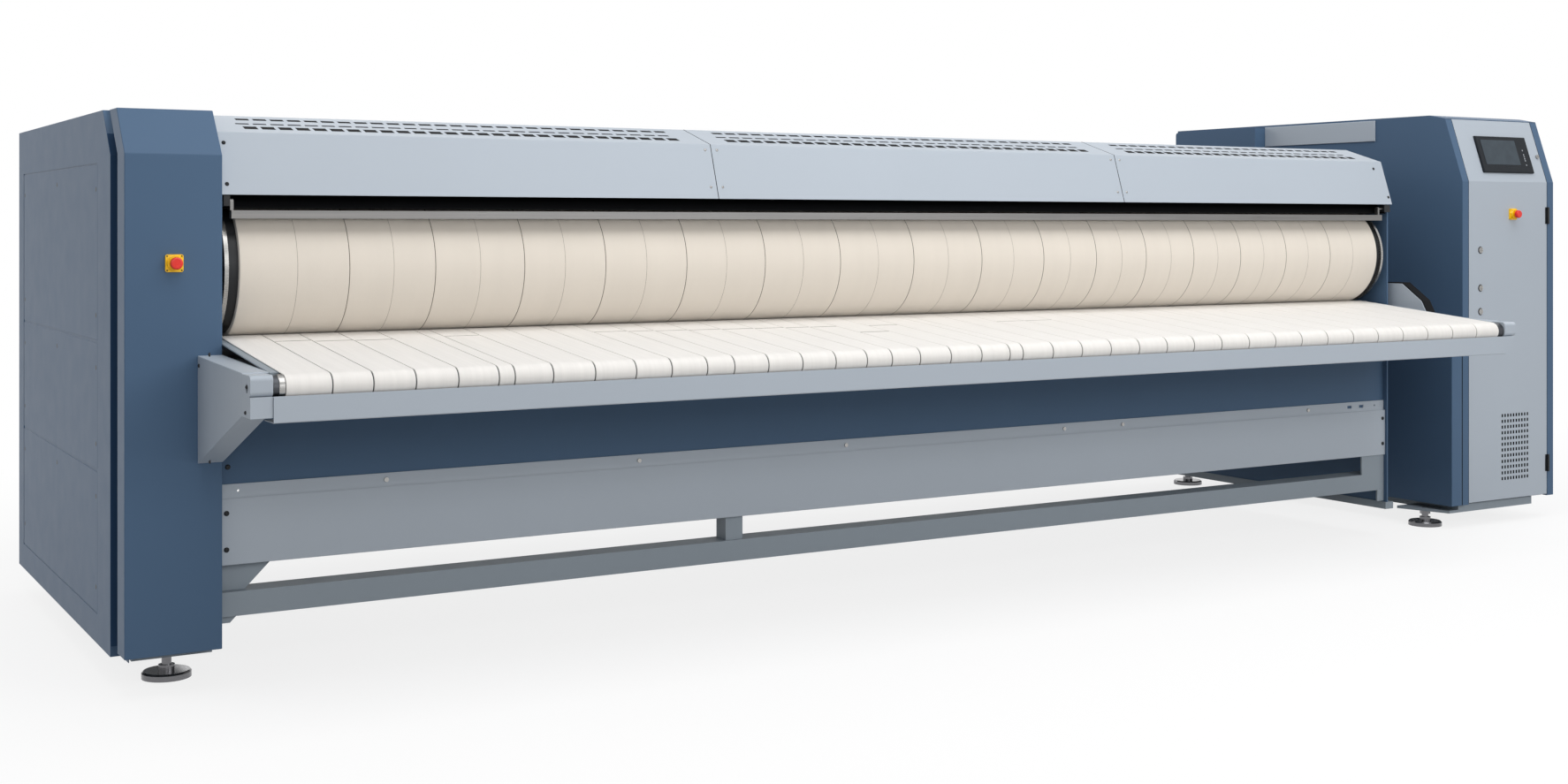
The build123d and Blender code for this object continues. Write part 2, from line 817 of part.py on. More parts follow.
def drive_gearmotor():
    """Gearbox on its base plate, with the motor behind it."""
    base = left_base_top()
    right = gearbox_right()
    left = right - gearbox_width
    front = motor_y - gearbox_depth / 2
    back = motor_y + gearbox_depth / 2
    top = motor_z() + gearbox_depth / 2 - 10
    body = box(left, right, front, back, base + 12, top)
    body = fillet(body.edges().filter_by(Axis.X), corner_radius)
    body += box(left - 10, left_wall_x - 6, front - 20, back + 20, base, base + 12)
    middle = (left + right) / 2
    motor = across(middle, back, back + motor_length, motor_z(), min(motor_radius, gearbox_width))
    for i in range(8):
        y = back + 30 + i * 20
        motor += across(middle, y, y + 4, motor_z(), motor_radius + 5)
    motor += box(middle - 30, middle + 30, back + 40, back + 120, motor_z(),
                 motor_z() + motor_radius + 34)
    body += motor
    return [body - rod(right - 31, right + 1, motor_y, motor_z(),
                       motor_shaft_radius + running_gap)]


# ---- left cabinet
def front_line(bottom, depth):
    """Front (y, z) line of the left cabinet, moved back by a depth, up to the roof."""
    roof = left_cabinet_height - 3.0
    return [(depth, bottom), (depth, front_bend_height), (depth + front_slope_depth, roof)]


def left_front_cover():
    """Bent front cover with its side walls, bottom flange and emergency stop hole."""
    line = front_line(left_cover_bottom, 0)
    back = front_line(left_cover_bottom, front_cover_depth)
    right = left_cabinet_width
    cover = bent_sheet(line, sheet, 0, right)
    for x in (0, right - sheet):
        cover += profile(line + back[::-1], x, x + sheet)
    cover += box(0, right, 0, front_cover_depth, left_cover_bottom, left_cover_bottom + sheet)
    cover += box(0, right, line[-1][0], back[-1][0], line[-1][1] - sheet, line[-1][1])
    cover -= across(estop_left_x, -1, sheet + 1, estop_left_z, estop_stem_radius + 3)
    return [cover]


def left_side_casing():
    """Side, roof, back and groove of the left cabinet, with windows for the side panels."""
    line = front_line(left_cabinet_bottom, casing_front)
    line[-1] = (line[-1][0], left_cabinet_height)
    back = machine_depth
    outline = line + [(back, left_cabinet_height), (back, left_cabinet_bottom)]
    right = left_cabinet_width - panel_gap
    casing = profile(outline, 0, sheet)
    casing += bent_sheet(line, sheet, 0, groove_depth + sheet)
    groove_front = front_line(left_cabinet_bottom, casing_front - groove_width + 2)
    casing += profile(groove_front + line[::-1], groove_depth, groove_depth + sheet)
    roof = left_cabinet_height
    casing += box(0, right, line[-1][0], back, roof - sheet, roof)
    casing += box(0, right, back - sheet, back, left_cabinet_bottom, roof)
    for low, high in zip(side_panel_levels, side_panel_levels[1:]):
        casing -= box(-1, sheet + 1, side_panel_front, side_panel_back, low, high)
    for level in side_panel_levels:
        casing += box(sheet, sheet + side_panel_ledge_depth, side_panel_front - side_panel_ledge,
                      side_panel_back + side_panel_ledge, level - side_panel_ledge,
                      level + side_panel_ledge)
    return [casing]


def side_lock_places(low, high):
    """Where a side panel is fastened: near its corners, and at its top middle."""
    middle = (side_panel_front + side_panel_back) / 2
    places = [(middle, high - 2 * side_lock_inset)]
    for y in (side_panel_front + side_lock_inset, side_panel_back - side_lock_inset):
        for z in (low + 3 * side_lock_inset, high - 3 * side_lock_inset):
            places.append((y, z))
    return places


def left_side_panels():
    """Three removable panels in the casing's windows."""
    pieces = []
    for low, high in zip(side_panel_levels, side_panel_levels[1:]):
        panel = box(0, sheet, side_panel_front + panel_gap, side_panel_back - panel_gap,
                    low + panel_gap, high - panel_gap)
        for y, z in side_lock_places(low, high):
            panel -= rod(-1, sheet + 1, y, z, screw_head_radius + running_gap)
        pieces.append(panel)
    return pieces


def side_panel_locks():
    """Quarter-turn fasteners of the side panels."""
    pieces = []
    for low, high in zip(side_panel_levels, side_panel_levels[1:]):
        for y, z in side_lock_places(low, high):
            pieces.append(rod(0, side_lock_reach, y, z, screw_head_radius))
    return pieces


# ---- emergency stops
def estop_housing(x, z):
    """Yellow plate and collar in front, with the switch body behind the sheet."""
    half = estop_plate / 2
    face = box(x - half, x + half, -estop_plate_thickness, 0, z - half, z + half)
    face = fillet(face.edges().filter_by(Axis.Y), 5)
    front = -estop_plate_thickness - estop_collar_height
    face += across(x, front, 0, z, estop_collar_radius)
    neck = across(x, 0, sheet + 1, z, estop_stem_radius + 3 - running_gap)
    body = box(x - 17, x + 17, sheet, estop_body_depth, z - 20, z + 20)
    hole_back = estop_body_depth - 10
    return face + neck + body - across(x, front - 1, hole_back, z, estop_stem_radius + running_gap)


def estop_button(x, z):
    """Red mushroom head on its stem."""
    rim = -estop_plate_thickness - estop_collar_height - estop_travel - 1.5
    head = across(x, rim - estop_head_height, rim, z, estop_head_radius)
    head = fillet(head.edges().sort_by(Axis.Y)[0], estop_head_height / 3)
    stem_end = estop_body_depth - 10 - estop_travel - 2
    return [head + across(x, rim, stem_end, z, estop_stem_radius)]


# ---- right cabinet
def cabinet_line():
    """Front and roof (y, z) line of the right cabinet."""
    return [(0, door_bottom), (0, door_bend_height), (door_slope_depth, door_slope_top),
            (right_top_setback, right_cabinet_height), (right_cabinet_back, right_cabinet_height)]


def door_line():
    """Front (y, z) line of the door and the strips, which stop just under the roof's edge."""
    depth = door_slope_depth
    rise = door_slope_top - door_bend_height
    share = 1 - (sheet + panel_gap) / hypot(depth, rise)
    return [(0, door_bottom), (0, door_bend_height),
            (depth * share, door_bend_height + rise * share)]


def cabinet_side(x, inner, outer, frame_x):
    """Side sheet with a narrow strip bent round to the front, and a flange beside the door."""
    outline = [(0, right_cabinet_bottom)] + cabinet_line()[1:]
    outline += [(right_cabinet_back, right_cabinet_bottom)]
    side = profile(outline, x, x + sheet)
    line = [(0, right_cabinet_bottom)] + door_line()[1:]
    side += bent_sheet(line, sheet, inner, outer)
    side += profile(line + beside(line, door_frame_depth)[::-1], frame_x, frame_x + sheet)
    return side


def right_inner_side():
    """Left side of the right cabinet."""
    x = right_cabinet_x
    edge = x + strip_left_width - panel_gap
    return [cabinet_side(x, x, edge, edge - sheet)]


def right_outer_side():
    """Right side of the right cabinet."""
    edge = machine_length - strip_right_width + panel_gap
    return [cabinet_side(machine_length - sheet, edge, machine_length, edge)]


def right_top_cover():
    """Roof and back sheet of the right cabinet."""
    line = cabinet_line()[2:] + [(right_cabinet_back, right_cabinet_bottom)]
    left = right_cabinet_x + sheet
    right = machine_length - sheet
    cover = bent_sheet(line, sheet, left, right)
    cover += box(left, right, door_return + 6, right_cabinet_back - sheet, right_cabinet_bottom,
                 right_cabinet_bottom + sheet)
    return [cover]


def recess_panel():
    """Narrow sheet box on the lower part of the right cabinet's left side."""
    x0 = right_cabinet_x - recess_box_width
    outer = box(x0, right_cabinet_x, 0, recess_box_depth, right_cabinet_bottom, recess_box_top)
    inner = box(x0 + sheet, right_cabinet_x + 1, sheet, recess_box_depth - sheet,
                right_cabinet_bottom - 1, recess_box_top - sheet)
    return [outer - inner]


def duct_cover_plate():
    """Light plate along the upper edge of the right cabinet's left side."""
    x = right_cabinet_x
    cover = box(x - duct_plate_thickness, x, duct_plate_front, duct_plate_back,
                duct_plate_bottom, duct_plate_top)
    return [cover]


def rear_duct_box():
    """Cable and air box behind the light plate."""
    x = right_cabinet_x
    outer = box(x - rear_box_width, x, duct_plate_back + panel_gap, rear_box_back,
                rear_box_bottom, rear_box_top)
    outer = fillet(outer.edges().filter_by(Axis.X).sort_by(Axis.Z)[-1], corner_radius)
    inner = box(x - rear_box_width + sheet, x + 1, duct_plate_back + panel_gap + sheet,
                rear_box_back - sheet, rear_box_bottom + sheet, rear_box_top - sheet)
    return [outer - inner]


def electrical_gear():
    """Mounting plate with the drive inverter, contactors and wiring ducts."""
    left = right_cabinet_x + gear_margin
    right = machine_length - gear_margin
    y = gear_plate_y
    bottom = right_cabinet_bottom + sheet
    pieces = [box(left, right, y, y + gear_plate_thickness, bottom,
                  door_bend_height - gear_plate_drop)]
    first = left + inverter_inset
    pieces.append(box(first, first + inverter_width, y - inverter_depth, y, inverter_bottom,
                      inverter_bottom + inverter_height))
    for row, height in enumerate(contactor_rows):
        front = y - contactor_depth + contactor_step * row
        for i in range(contactor_count):
            x = first + i * contactor_pitch
            pieces.append(box(x, x + contactor_width, front, y, height,
                              height + contactor_height))
    for height in wiring_duct_rows:
        pieces.append(box(left + wiring_duct_inset, right - wiring_duct_inset,
                          y - wiring_duct_depth, y, height, height + wiring_duct_height))
    return pieces


# ---- door and its fittings
def door_edges():
    """Left and right edge of the door."""
    return right_cabinet_x + strip_left_width, machine_length - strip_right_width


def door_vent_cutters():
    """Rows of short upright slots for the cabinet's air."""
    cutters = []
    span = door_vent_right - door_vent_left
    pitch = (span - door_vent_slot_width) / (door_vent_columns - 1)
    for row in range(door_vent_rows):
        z = door_vent_bottom + row * door_vent_row_pitch
        for column in range(door_vent_columns):
            x = door_vent_left + column * pitch
            cutters.append(box(x, x + door_vent_slot_width, -1, sheet + 1,
                               z, z + door_vent_slot_height))
    return cutters


def slope_place(x, along, out=0.0):
    """Place on the door's sloping face, with z out of the face and y up along it."""
    lean = atan2(door_slope_depth, door_slope_top - door_bend_height)
    y = along * sin(lean) - out * cos(lean)
    z = door_bend_height + along * cos(lean) + out * sin(lean)
    return Pos(x, y, z) * Rot(90 - degrees(lean), 0, 0)


def control_door():
    """Bent door sheet with its returned edges, vent slots and fitting holes."""
    left, right = door_edges()
    line = door_line()
    door = bent_sheet(line, sheet, left, right)
    returns = line + beside(line, door_return)[::-1]
    for x in (left, right - sheet):
        door += profile(returns, x, x + sheet)
    door += box(left, right, 0, door_return, door_bottom, door_bottom + sheet)
    door -= Compound(children=door_vent_cutters())
    for z in latch_heights:
        door -= across(latch_x, -1, sheet + 1, z, latch_radius - 3 + running_gap)
    door -= across(estop_right_x, -1, sheet + 1, estop_right_z, estop_stem_radius + 3)
    middle = (touch_left + touch_right) / 2
    window = Box(touch_right - touch_left - 30, touch_height - 30, 10 * sheet)
    door -= slope_place(middle, touch_low + touch_height / 2) * window
    door -= slope_place(key_x, key_along_slope) * Cylinder(key_radius - 2 + running_gap, 30)
    return [door]


def door_latch(z):
    """Quarter-turn latch: round head, spindle and the cam behind the door."""
    head = across(latch_x, -3, 0, z, latch_radius)
    head -= box(latch_x - 1.5, latch_x + 1.5, -4, -1.5, z - latch_radius + 3, z + latch_radius - 3)
    cam_front = door_frame_depth + 1
    cam_back = cam_front + latch_cam_thickness
    spindle = across(latch_x, 0, cam_back, z, latch_radius - 3)
    cam = box(latch_x - 8, latch_x + 8, cam_front, cam_back, z - 8, z + latch_cam_length)
    return [head + spindle + cam]


def touch_panel():
    """Bezel let into the door with its box behind, and the glass in front."""
    middle = (touch_left + touch_right) / 2
    along = touch_low + touch_height / 2
    width = touch_right - touch_left
    bezel = Box(width, touch_height, touch_depth)
    bezel = chamfer(bezel.faces().sort_by(Axis.Z)[-1].edges(), 3)
    back = Pos(0, 0, -touch_depth / 2 - 20) * Box(width - 32, touch_height - 32, 40)
    glass_width = width * 0.62
    glass_height = touch_height * 0.66
    glass_place = Pos(-width * 0.06, 0, touch_depth / 2)
    pocket = glass_place * Box(glass_width, glass_height, 4)
    glass = glass_place * Pos(0, 0, -1) * Box(glass_width - 0.4, glass_height - 0.4, 2)
    place = slope_place(middle, along, touch_depth / 2)
    return [place * (bezel + back - pocket), place * glass]


def key_switch():
    """Small round lock at the right of the sloping face."""
    head = Pos(0, 0, 3) * Cylinder(key_radius, 6)
    head -= Pos(0, 0, 5.5) * Box(2, key_radius, 3)
    barrel = Pos(0, 0, -9) * Cylinder(key_radius - 2, 18)
    return [slope_place(key_x, key_along_slope) * (head + barrel)]


def hinge_axis():
    """The (x, y) place of the door's hinge axis."""
    return door_edges()[1] + hinge_axis_gap, -hinge_radius - 1


def knuckle(z0, z1, bore):
    """One knuckle of a hinge."""
    x, y = hinge_axis()
    return post(x, y, z0, z1, hinge_radius) - post(x, y, z0 - 1, z1 + 1, bore)


def door_hinge_bases():
    """Fixed leaf of each hinge with two knuckles and the pin."""
    x, y = hinge_axis()
    third = hinge_length / 3
    pieces = []
    for middle in hinge_heights:
        low = middle - hinge_length / 2
        high = middle + hinge_length / 2
        leaf = box(x + hinge_radius - 1, x + hinge_leaf, -hinge_leaf_thickness, 0, low, high)
        base = leaf + post(x, y, low, high, hinge_pin_radius)
        for z0, z1 in ((low, low + third), (high - third, high)):
            base += post(x, y, z0, z1, hinge_radius)
            base += box(x + hinge_radius - 1.5, x + hinge_radius + 1, y, 0, z0, z1)
        pieces.append(base)
    return pieces


def door_hinge_leaves():
    """Moving leaf of each hinge with its middle knuckle."""
    x, y = hinge_axis()
    third = hinge_length / 3
    pieces = []
    for middle in hinge_heights:
        low = middle - third / 2 + 0.2
        high = middle + third / 2 - 0.2
        arm = box(x - hinge_radius - 1, x - hinge_radius + 1.5, y, 0, low, high)
        leaf = arm + box(x - hinge_leaf, x - hinge_radius, -hinge_leaf_thickness, 0,
                         middle - hinge_length / 2, middle + hinge_length / 2)
        leaf += knuckle(low, high, hinge_pin_radius + running_gap)
        pieces.append(leaf)
    return pieces


# ---- feed table
def table_width():
    """Inner faces of the table's two side brackets."""
    return bracket_left_side + bracket_end_width + 3, bracket_right_side - bracket_end_width


def bracket_line(rear, rear_bottom):
    """Underside, front and top (y, z) line of a bracket that reaches back to a given place."""
    front = end_block_depth - table_reach
    return [(rear, rear_bottom), (front, table_bottom + bracket_rise),
            (front, table_top + sheet), (rear, bracket_rear_top)]


def side_plate_outline():
    """Side (y, z) outline of the raised plate on the right bracket."""
    return [(side_plate_back, bracket_rear_top), (side_plate_back, side_plate_top),
            (0, side_plate_top), (-side_plate_shoulder, side_plate_shoulder_height),
            (-side_plate_front, bracket_rear_top)]


def table_brackets():
    """Sheet brackets that carry the table: a deep gusset at the left, an arm at the right."""
    inner_left, inner_right = table_width()
    pieces = []
    for x0, x1, rear, bottom in (
            (bracket_left_side, inner_left, 0.0, bracket_rear_bottom),
            (inner_right, bracket_right_side, wall_front, table_bottom + bracket_rise)):
        line = bracket_line(rear, bottom)
        bracket = bent_sheet(line, sheet, x0, x1)
        bracket += profile(line, x0, x0 + sheet) + profile(line, x1 - sheet, x1)
        bracket -= box(x0, x1, rear, rear + sheet, bottom - sheet,
                       bracket_rear_top + sheet)
        pieces.append(bracket)
    pieces.append(profile(side_plate_outline(), bracket_right_side - side_plate_thickness,
                          bracket_right_side))
    return pieces


def side_seal_plate():
    """Dark filler beside the table's raised side plate, with a border round it."""
    return [profile(beside(side_plate_outline(), side_seal_border), bracket_right_side,
                    bracket_right_side + side_seal_thickness)]


def table_end_blocks():
    """Cast blocks at the table's front corners, which carry the front roller."""
    front = -table_reach + 4
    back = front + end_block_depth - 4
    inner_right = table_width()[1]
    pieces = []
    upper_span = ((bracket_left_side, bracket_left_side + end_block_width),
                  (inner_right, inner_right + bracket_end_width))
    for x0, x1 in upper_span:
        upper = box(x0, x1, front, back, fascia_top, table_top)
        upper = fillet(upper.edges().filter_by(Axis.X).sort_by(Axis.Y)[:2], corner_radius)
        low = table_bottom + bracket_rise
        cut = 0.0 if x0 < left_wall_x else end_block_taper
        lower = [(x0, fascia_top), (x1 - cut / 4, fascia_top), (x1 - cut, low), (x0, low)]
        block = upper + plate(lower, front, back)
        block -= rod(x0 - 1, x1 + 1, front_roller_y, front_roller_z,
                     roller_journal_radius + running_gap)
        pieces.append(block)
    return pieces


def table_fascia():
    """Long front rail of the table, a sheet channel."""
    left = bracket_left_side + end_block_width
    front = -table_reach
    line = [(front + end_block_depth, table_bottom), (front, table_bottom), (front, fascia_top),
            (front + fascia_lip, fascia_top)]
    return [bent_sheet(line, sheet, left, table_width()[1])]


def feed_roller(y, z, ends, journal_ends):
    """Roller between two places, with a journal at each end."""
    roller = rod(*ends, y, z, feed_roller_radius)
    return [roller + rod(*journal_ends, y, z, roller_journal_radius)]


def front_feed_roller():
    """The front roller turns in the table's end blocks."""
    ends = (bracket_left_side + end_block_width + roller_end_gap,
            table_width()[1] - roller_end_gap)
    return feed_roller(front_roller_y, front_roller_z, ends,
                       (bracket_left_side + 8, bracket_right_side - 8))


def rear_feed_roller():
    """The rear roller turns in bushes that are welded to the end walls."""
    ends = (section_left + bush_length + roller_end_gap,
            section_right - bush_length - roller_end_gap)
    return feed_roller(rear_roller_y, rear_roller_z, ends,
                       (section_left + 0.5, section_right - 0.5))


def feed_belts():
    """Narrow endless belts side by side round both rollers."""
    pitch = (belt_edge_right - belt_edge_left + belt_spacing) / belt_count
    radius = feed_roller_radius + seat_gap
    pieces = []
    for i in range(belt_count):
        x = belt_edge_left + i * pitch
        pieces.append(belt_loop((front_roller_y, front_roller_z), (rear_roller_y, rear_roller_z),
                                radius, radius, belt_thickness, x, x + pitch - belt_spacing))
    return pieces


def table_bed():
    """Sheet channel inside the belts that holds up their top run."""
    rise = atan2(rear_roller_z - front_roller_z, rear_roller_y - front_roller_y)
    depth = feed_roller_radius - 2 * seat_gap
    start = feed_roller_radius + 12
    length = hypot(rear_roller_z - front_roller_z, rear_roller_y - front_roller_y)
    line = []
    for along, up in ((start, depth - bed_flange), (start, depth), (length - start, depth),
                      (length - start, depth - bed_flange)):
        line.append((front_roller_y + along * cos(rise) - up * sin(rise),
                     front_roller_z + along * sin(rise) + up * cos(rise)))
    bed = bent_sheet(line, bed_thickness, *table_width())
    wall = box(left_wall_x, section_left, wall_front - seat_gap, rear_roller_y, table_top - 50,
               rear_roller_z + 2 * belt_radius)
    return [bed - wall]


# ---- panels under the table
def cross_panel():
    """Long front panel with a set-back rail along its top and a flange under it."""
    set_back = 6.0
    line = [(cross_front + cross_flange, cross_bottom), (cross_front, cross_bottom),
            (cross_front, cross_rail_bottom), (cross_front + set_back, cross_rail_bottom),
            (cross_front + set_back, cross_rail_top)]
    panel = bent_sheet(line, cross_thickness, section_left, section_right)
    for x in rail_hole_places + rail_screw_places:
        panel -= across(x, 0, rail_hole_reach, rail_screw_height,
                        screw_shank_radius + running_gap)
    for x in rail_slot_places:
        panel -= box(x - 11, x + 11, 0, rail_hole_reach, rail_screw_height - 5,
                     rail_screw_height + 5)
    return [panel]


def lower_front_panel():
    """Sheet that closes the space behind the table."""
    front = cross_front + 6 + cross_thickness
    panel = box(section_left, section_right, front, front + sheet, cross_rail_bottom + 8,
                lower_panel_top)
    for x in rail_hole_places + rail_screw_places:
        panel -= across(x, 0, rail_hole_reach, rail_screw_height,
                        screw_shank_radius + running_gap)
    return [panel]


def screw(x, y, z, length):
    """Round-headed screw with its head in front of the sheet at y."""
    head = across(x, y - screw_head_height, y, z, screw_head_radius)
    return head + across(x, y, y + length, z, screw_shank_radius)


def panel_screws():
    """Screws of the rail under the table."""
    front = cross_front + 6
    length = cross_thickness + sheet
    return [screw(x, front, rail_screw_height, length) for x in rail_screw_places]


# ---- finger guard
def guard_bar():
    """Steel bar in front of the roll, hung on an arm and a pin at each end."""
    bar = box(guard_left, guard_right, guard_front, guard_front + guard_depth,
              guard_bottom, guard_bottom + guard_height)
    half = guard_arm_depth / 2
    for x0, x1 in ((guard_left, guard_left + guard_arm), (guard_right - guard_arm, guard_right)):
        bar += box(x0, x1, guard_pivot_y - half, guard_pivot_y + half,
                   guard_bottom + guard_height, guard_pivot_z)
        bar += rod(x0, x1, guard_pivot_y, guard_pivot_z, half)
    left = section_left + (guard_left - section_left) / 2
    right = section_right - guard_bracket_width / 2
    bar += rod(left, guard_left, guard_pivot_y, guard_pivot_z, guard_pin_radius)
    bar += rod(guard_right, right, guard_pivot_y, guard_pivot_z, guard_pin_radius)
    return [bar]


def guard_brackets():
    """Dark block on each end wall for the guard's pins."""
    pieces = []
    front = guard_pivot_y - guard_bracket_depth / 2
    top = hood_bottom - sheet
    spans = ((section_left, guard_left - 1), (section_right - guard_bracket_width, section_right))
    for x0, x1 in spans:
        block = box(x0, x1, front, front + guard_bracket_depth, top - guard_bracket_height, top)
        pieces.append(block - rod(x0 - 1, x1 + 1, guard_pivot_y, guard_pivot_z,
                                  guard_pin_radius + running_gap))
    return pieces


# ---- exhaust fan
def fan_housing():
    """Round fan housing with its outlet duct, bolted to the right end wall, and its motor."""
    x0 = right_wall_outer
    x1 = x0 + fan_housing_width
    duct_front = fan_y + fan_housing_radius - fan_outlet_depth
    duct_back = fan_y + fan_housing_radius
    shell = rod(x0, x1, fan_y, fan_z, fan_housing_radius)
    duct_left = hood_right + sheet
    shell += box(duct_left, x1, duct_front, duct_back, fan_z, fan_outlet_top)
    cavity = rod(x0 + sheet, x1 - sheet, fan_y, fan_z, fan_housing_radius - sheet)
    cavity += box(duct_left + sheet, x1 - sheet, duct_front + sheet, duct_back - sheet, fan_z,
                  fan_outlet_top + 1)
    shell -= cavity
    shell -= rod(x0 - 1, x0 + sheet + 1, fan_y, fan_z, fan_inlet_radius)
    shaft_hole = rod(x1 - sheet - 1, x1 + 40, fan_y, fan_z, fan_shaft_radius + running_gap)
    motor = rod(x1, x1 + fan_motor_length, fan_y, fan_z, fan_motor_radius)
    return [shell - shaft_hole, motor - shaft_hole]


def fan_impeller():
    """Wheel with a back disc, blades and its shaft in the motor."""
    x1 = right_wall_outer + fan_housing_width - sheet - 10
    x0 = x1 - impeller_width
    wheel = rod(x1 - 3, x1, fan_y, fan_z, impeller_radius)
    wheel += rod(x0, x1, fan_y, fan_z, fan_shaft_radius + 14)
    wheel += pipe(x0, x0 + 3, fan_y, fan_z, impeller_radius, impeller_radius - 45)
    for i in range(impeller_blades):
        blade = Box(impeller_width, 44, 3)
        place = Pos((x0 + x1) / 2, fan_y, fan_z) * Rot(360 * i / impeller_blades, 0, 0)
        wheel += place * Pos(0, impeller_radius - 24, 0) * blade
    shaft_end = right_wall_outer + fan_housing_width + 38
    return [wheel + rod(x1, shaft_end, fan_y, fan_z, fan_shaft_radius)]


def main():
    """Write every sub-part."""
    os.makedirs("parts", exist_ok=True)
    makers = (
        left_base_frame, right_base_frame, levelling_feet, lower_beams, left_end_wall,
        right_end_wall, hood_panels, rear_cover, hood_liner, delivery_chute, stripper_bar,
        roll_drum, roll_cover, roll_end_rings, roll_bearings, heated_chest, heating_elements,
        chest_jacket, roll_sprocket, motor_sprocket, drive_chain, drive_gearmotor,
        left_front_cover, left_side_casing, left_side_panels, side_panel_locks,
        right_inner_side, right_outer_side, right_top_cover, recess_panel, duct_cover_plate,
        rear_duct_box, electrical_gear, control_door, touch_panel, key_switch,
        door_hinge_bases, door_hinge_leaves, table_brackets, side_seal_plate,
        table_end_blocks, table_fascia, front_feed_roller, rear_feed_roller,
        feed_belts, table_bed, cross_panel, lower_front_panel, panel_screws, guard_bar,
        guard_brackets, fan_housing, fan_impeller,
    )
    for maker in makers:
        save(maker.__name__, *maker())
    for number, height in enumerate(latch_heights, 1):
        save("door_latch_" + str(number), *door_latch(height))
    save("estop_housing_left", estop_housing(estop_left_x, estop_left_z))
    save("estop_button_left", *estop_button(estop_left_x, estop_left_z))
    save("estop_housing_right", estop_housing(estop_right_x, estop_right_z))
    save("estop_button_right", *estop_button(estop_right_x, estop_right_z))


main()
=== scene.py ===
import json
from math import cos, pi, radians, sin

import bmesh
import bpy
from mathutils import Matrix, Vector


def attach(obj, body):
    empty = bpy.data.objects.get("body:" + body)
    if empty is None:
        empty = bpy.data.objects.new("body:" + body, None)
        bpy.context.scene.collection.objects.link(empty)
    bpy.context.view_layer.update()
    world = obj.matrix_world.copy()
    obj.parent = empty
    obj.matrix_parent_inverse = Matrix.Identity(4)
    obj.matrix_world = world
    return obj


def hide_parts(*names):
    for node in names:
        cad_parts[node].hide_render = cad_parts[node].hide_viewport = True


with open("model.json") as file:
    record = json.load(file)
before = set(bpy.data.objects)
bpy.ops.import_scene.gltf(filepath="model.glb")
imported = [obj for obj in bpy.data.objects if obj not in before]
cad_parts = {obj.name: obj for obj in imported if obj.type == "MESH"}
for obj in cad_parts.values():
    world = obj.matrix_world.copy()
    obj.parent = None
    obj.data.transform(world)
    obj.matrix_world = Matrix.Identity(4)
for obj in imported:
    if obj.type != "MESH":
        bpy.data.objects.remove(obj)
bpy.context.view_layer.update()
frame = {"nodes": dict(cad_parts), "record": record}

# Looks of the flatwork ironer. Places are written in the machine's own millimetres, as in the
# CAD source: x from the left cabinet's outer side, y from the front covers, z from the floor.

# ---- machine sizes that the pieces here follow
MIDDLE_X = 2642.0
MIDDLE_Y = 556.5

ROLL_Y = 185.0
ROLL_Z = 1019.0
ROLL_RADIUS = 175.0
ROLL_COVER_THICKNESS = 12.0
ROLL_LEFT = 271.0
ROLL_RIGHT = 4305.0

# feed belts, and the (y, z) of their rollers' axes
BELT_LEFT = 248.0
BELT_RIGHT = 4338.0
BELT_SPACING = 3.0
BELT_THICKNESS = 2.2
BELT_INNER_RADIUS = 27.3
FRONT_ROLLER = (-446.5, 768.5)
REAR_ROLLER = (118.0, 822.5)
COLLAR_LEFT = 233.2
COLLAR_RIGHT = 247.0

# the hood's outline as (y, z) from its front edge, and the seams between its sheets
HOOD_LINE = ((11.0, 1201.0), (62.0, 1356.0), (224.0, 1405.0), (900.0, 1405.0))
HOOD_SEAMS = (1606.0, 3112.0)
HOOD_LEFT = 227.6
HOOD_RIGHT = 4386.0
# rows of its vents as (distance behind the second point of the outline, slot width)
VENT_ROWS = ((48.0, 28.0), (88.0, 12.0), (134.0, 18.0))
VENT_LENGTH = 34.0
VENT_PITCH = 44.0
VENT_MARGIN = 70.0

# left cabinet: the groove runs behind its front cover, on the outer side
LEFT_SLOPE = ((0.0, 1297.0), (94.0, 1409.0))
LEFT_COVER_BOTTOM = 102.0
LEFT_COVER_DEPTH = 80.0
GROOVE_WIDTH = 87.0
GROOVE_DEPTH = 25.0
LEFT_CASING_RIGHT = 226.4

DOOR_SLOPE = ((0.0, 1290.0), (79.0, 1527.0))
DOOR_BOTTOM = 92.0
# dark strips in the gaps at the door's sides, painted shade of those gaps, as (first x, last x)
DOOR_GAP_SHADES = ((4789.4, 4791.0), (5245.2, 5246.8))
DOOR_VENT_LEFT = 4978.0
DOOR_VENT_RIGHT = 5134.0
DOOR_VENT_BOTTOM = 163.0
DOOR_VENT_ROWS = 12
DOOR_VENT_ROW_PITCH = 21.6
DOOR_VENT_SLOT_HEIGHT = 12.0
DOOR_VENT_COLUMNS = 10
DOOR_VENT_SLOT_WIDTH = 9.0
# dark strip beside the recess box, painted shade of the gap there: its (first x, last x), then
# its (low, high) heights
RECESS_GAP_SHADE = (4751.5, 4755.9)
RECESS_GAP_SHADE_HEIGHTS = (87.0, 714.0)
LATCH_X = 4857.0
LATCH_HEIGHTS = (803.0, 891.0, 1033.0)

# touch panel: how far its face stands out of the door's slope, and distances up that slope
TOUCH_PANEL_FACE = 9.0
DISPLAY_LEFT = 4910.0
DISPLAY_RIGHT = 5108.0
DISPLAY_BOTTOM = 66.0
DISPLAY_TOP = 165.0
DISPLAY_KEYS_X = 5141.0
DISPLAY_KEYS = (66, 84, 92, 100, 108, 126)

# emergency stops as (side, body, x and z of the middle)
STOP_PLATES = (("left", "frame", 113.5, 1036), ("right", "door", 5041, 1168))
STOP_PLATE_FACE = -5.0
STOP_SCREW_REACH = 17.0

# heights of the screws beside the hood's seams, and their distance from the seam
HOOD_SEAM_SCREWS = (1340, 1234)
HOOD_SEAM_SCREW_REACH = 19.0
# screws at the hood's ends as (x, z)
HOOD_END_SCREWS = ((243, 1329), (243, 1227), (4336, 1330), (4375, 1227))
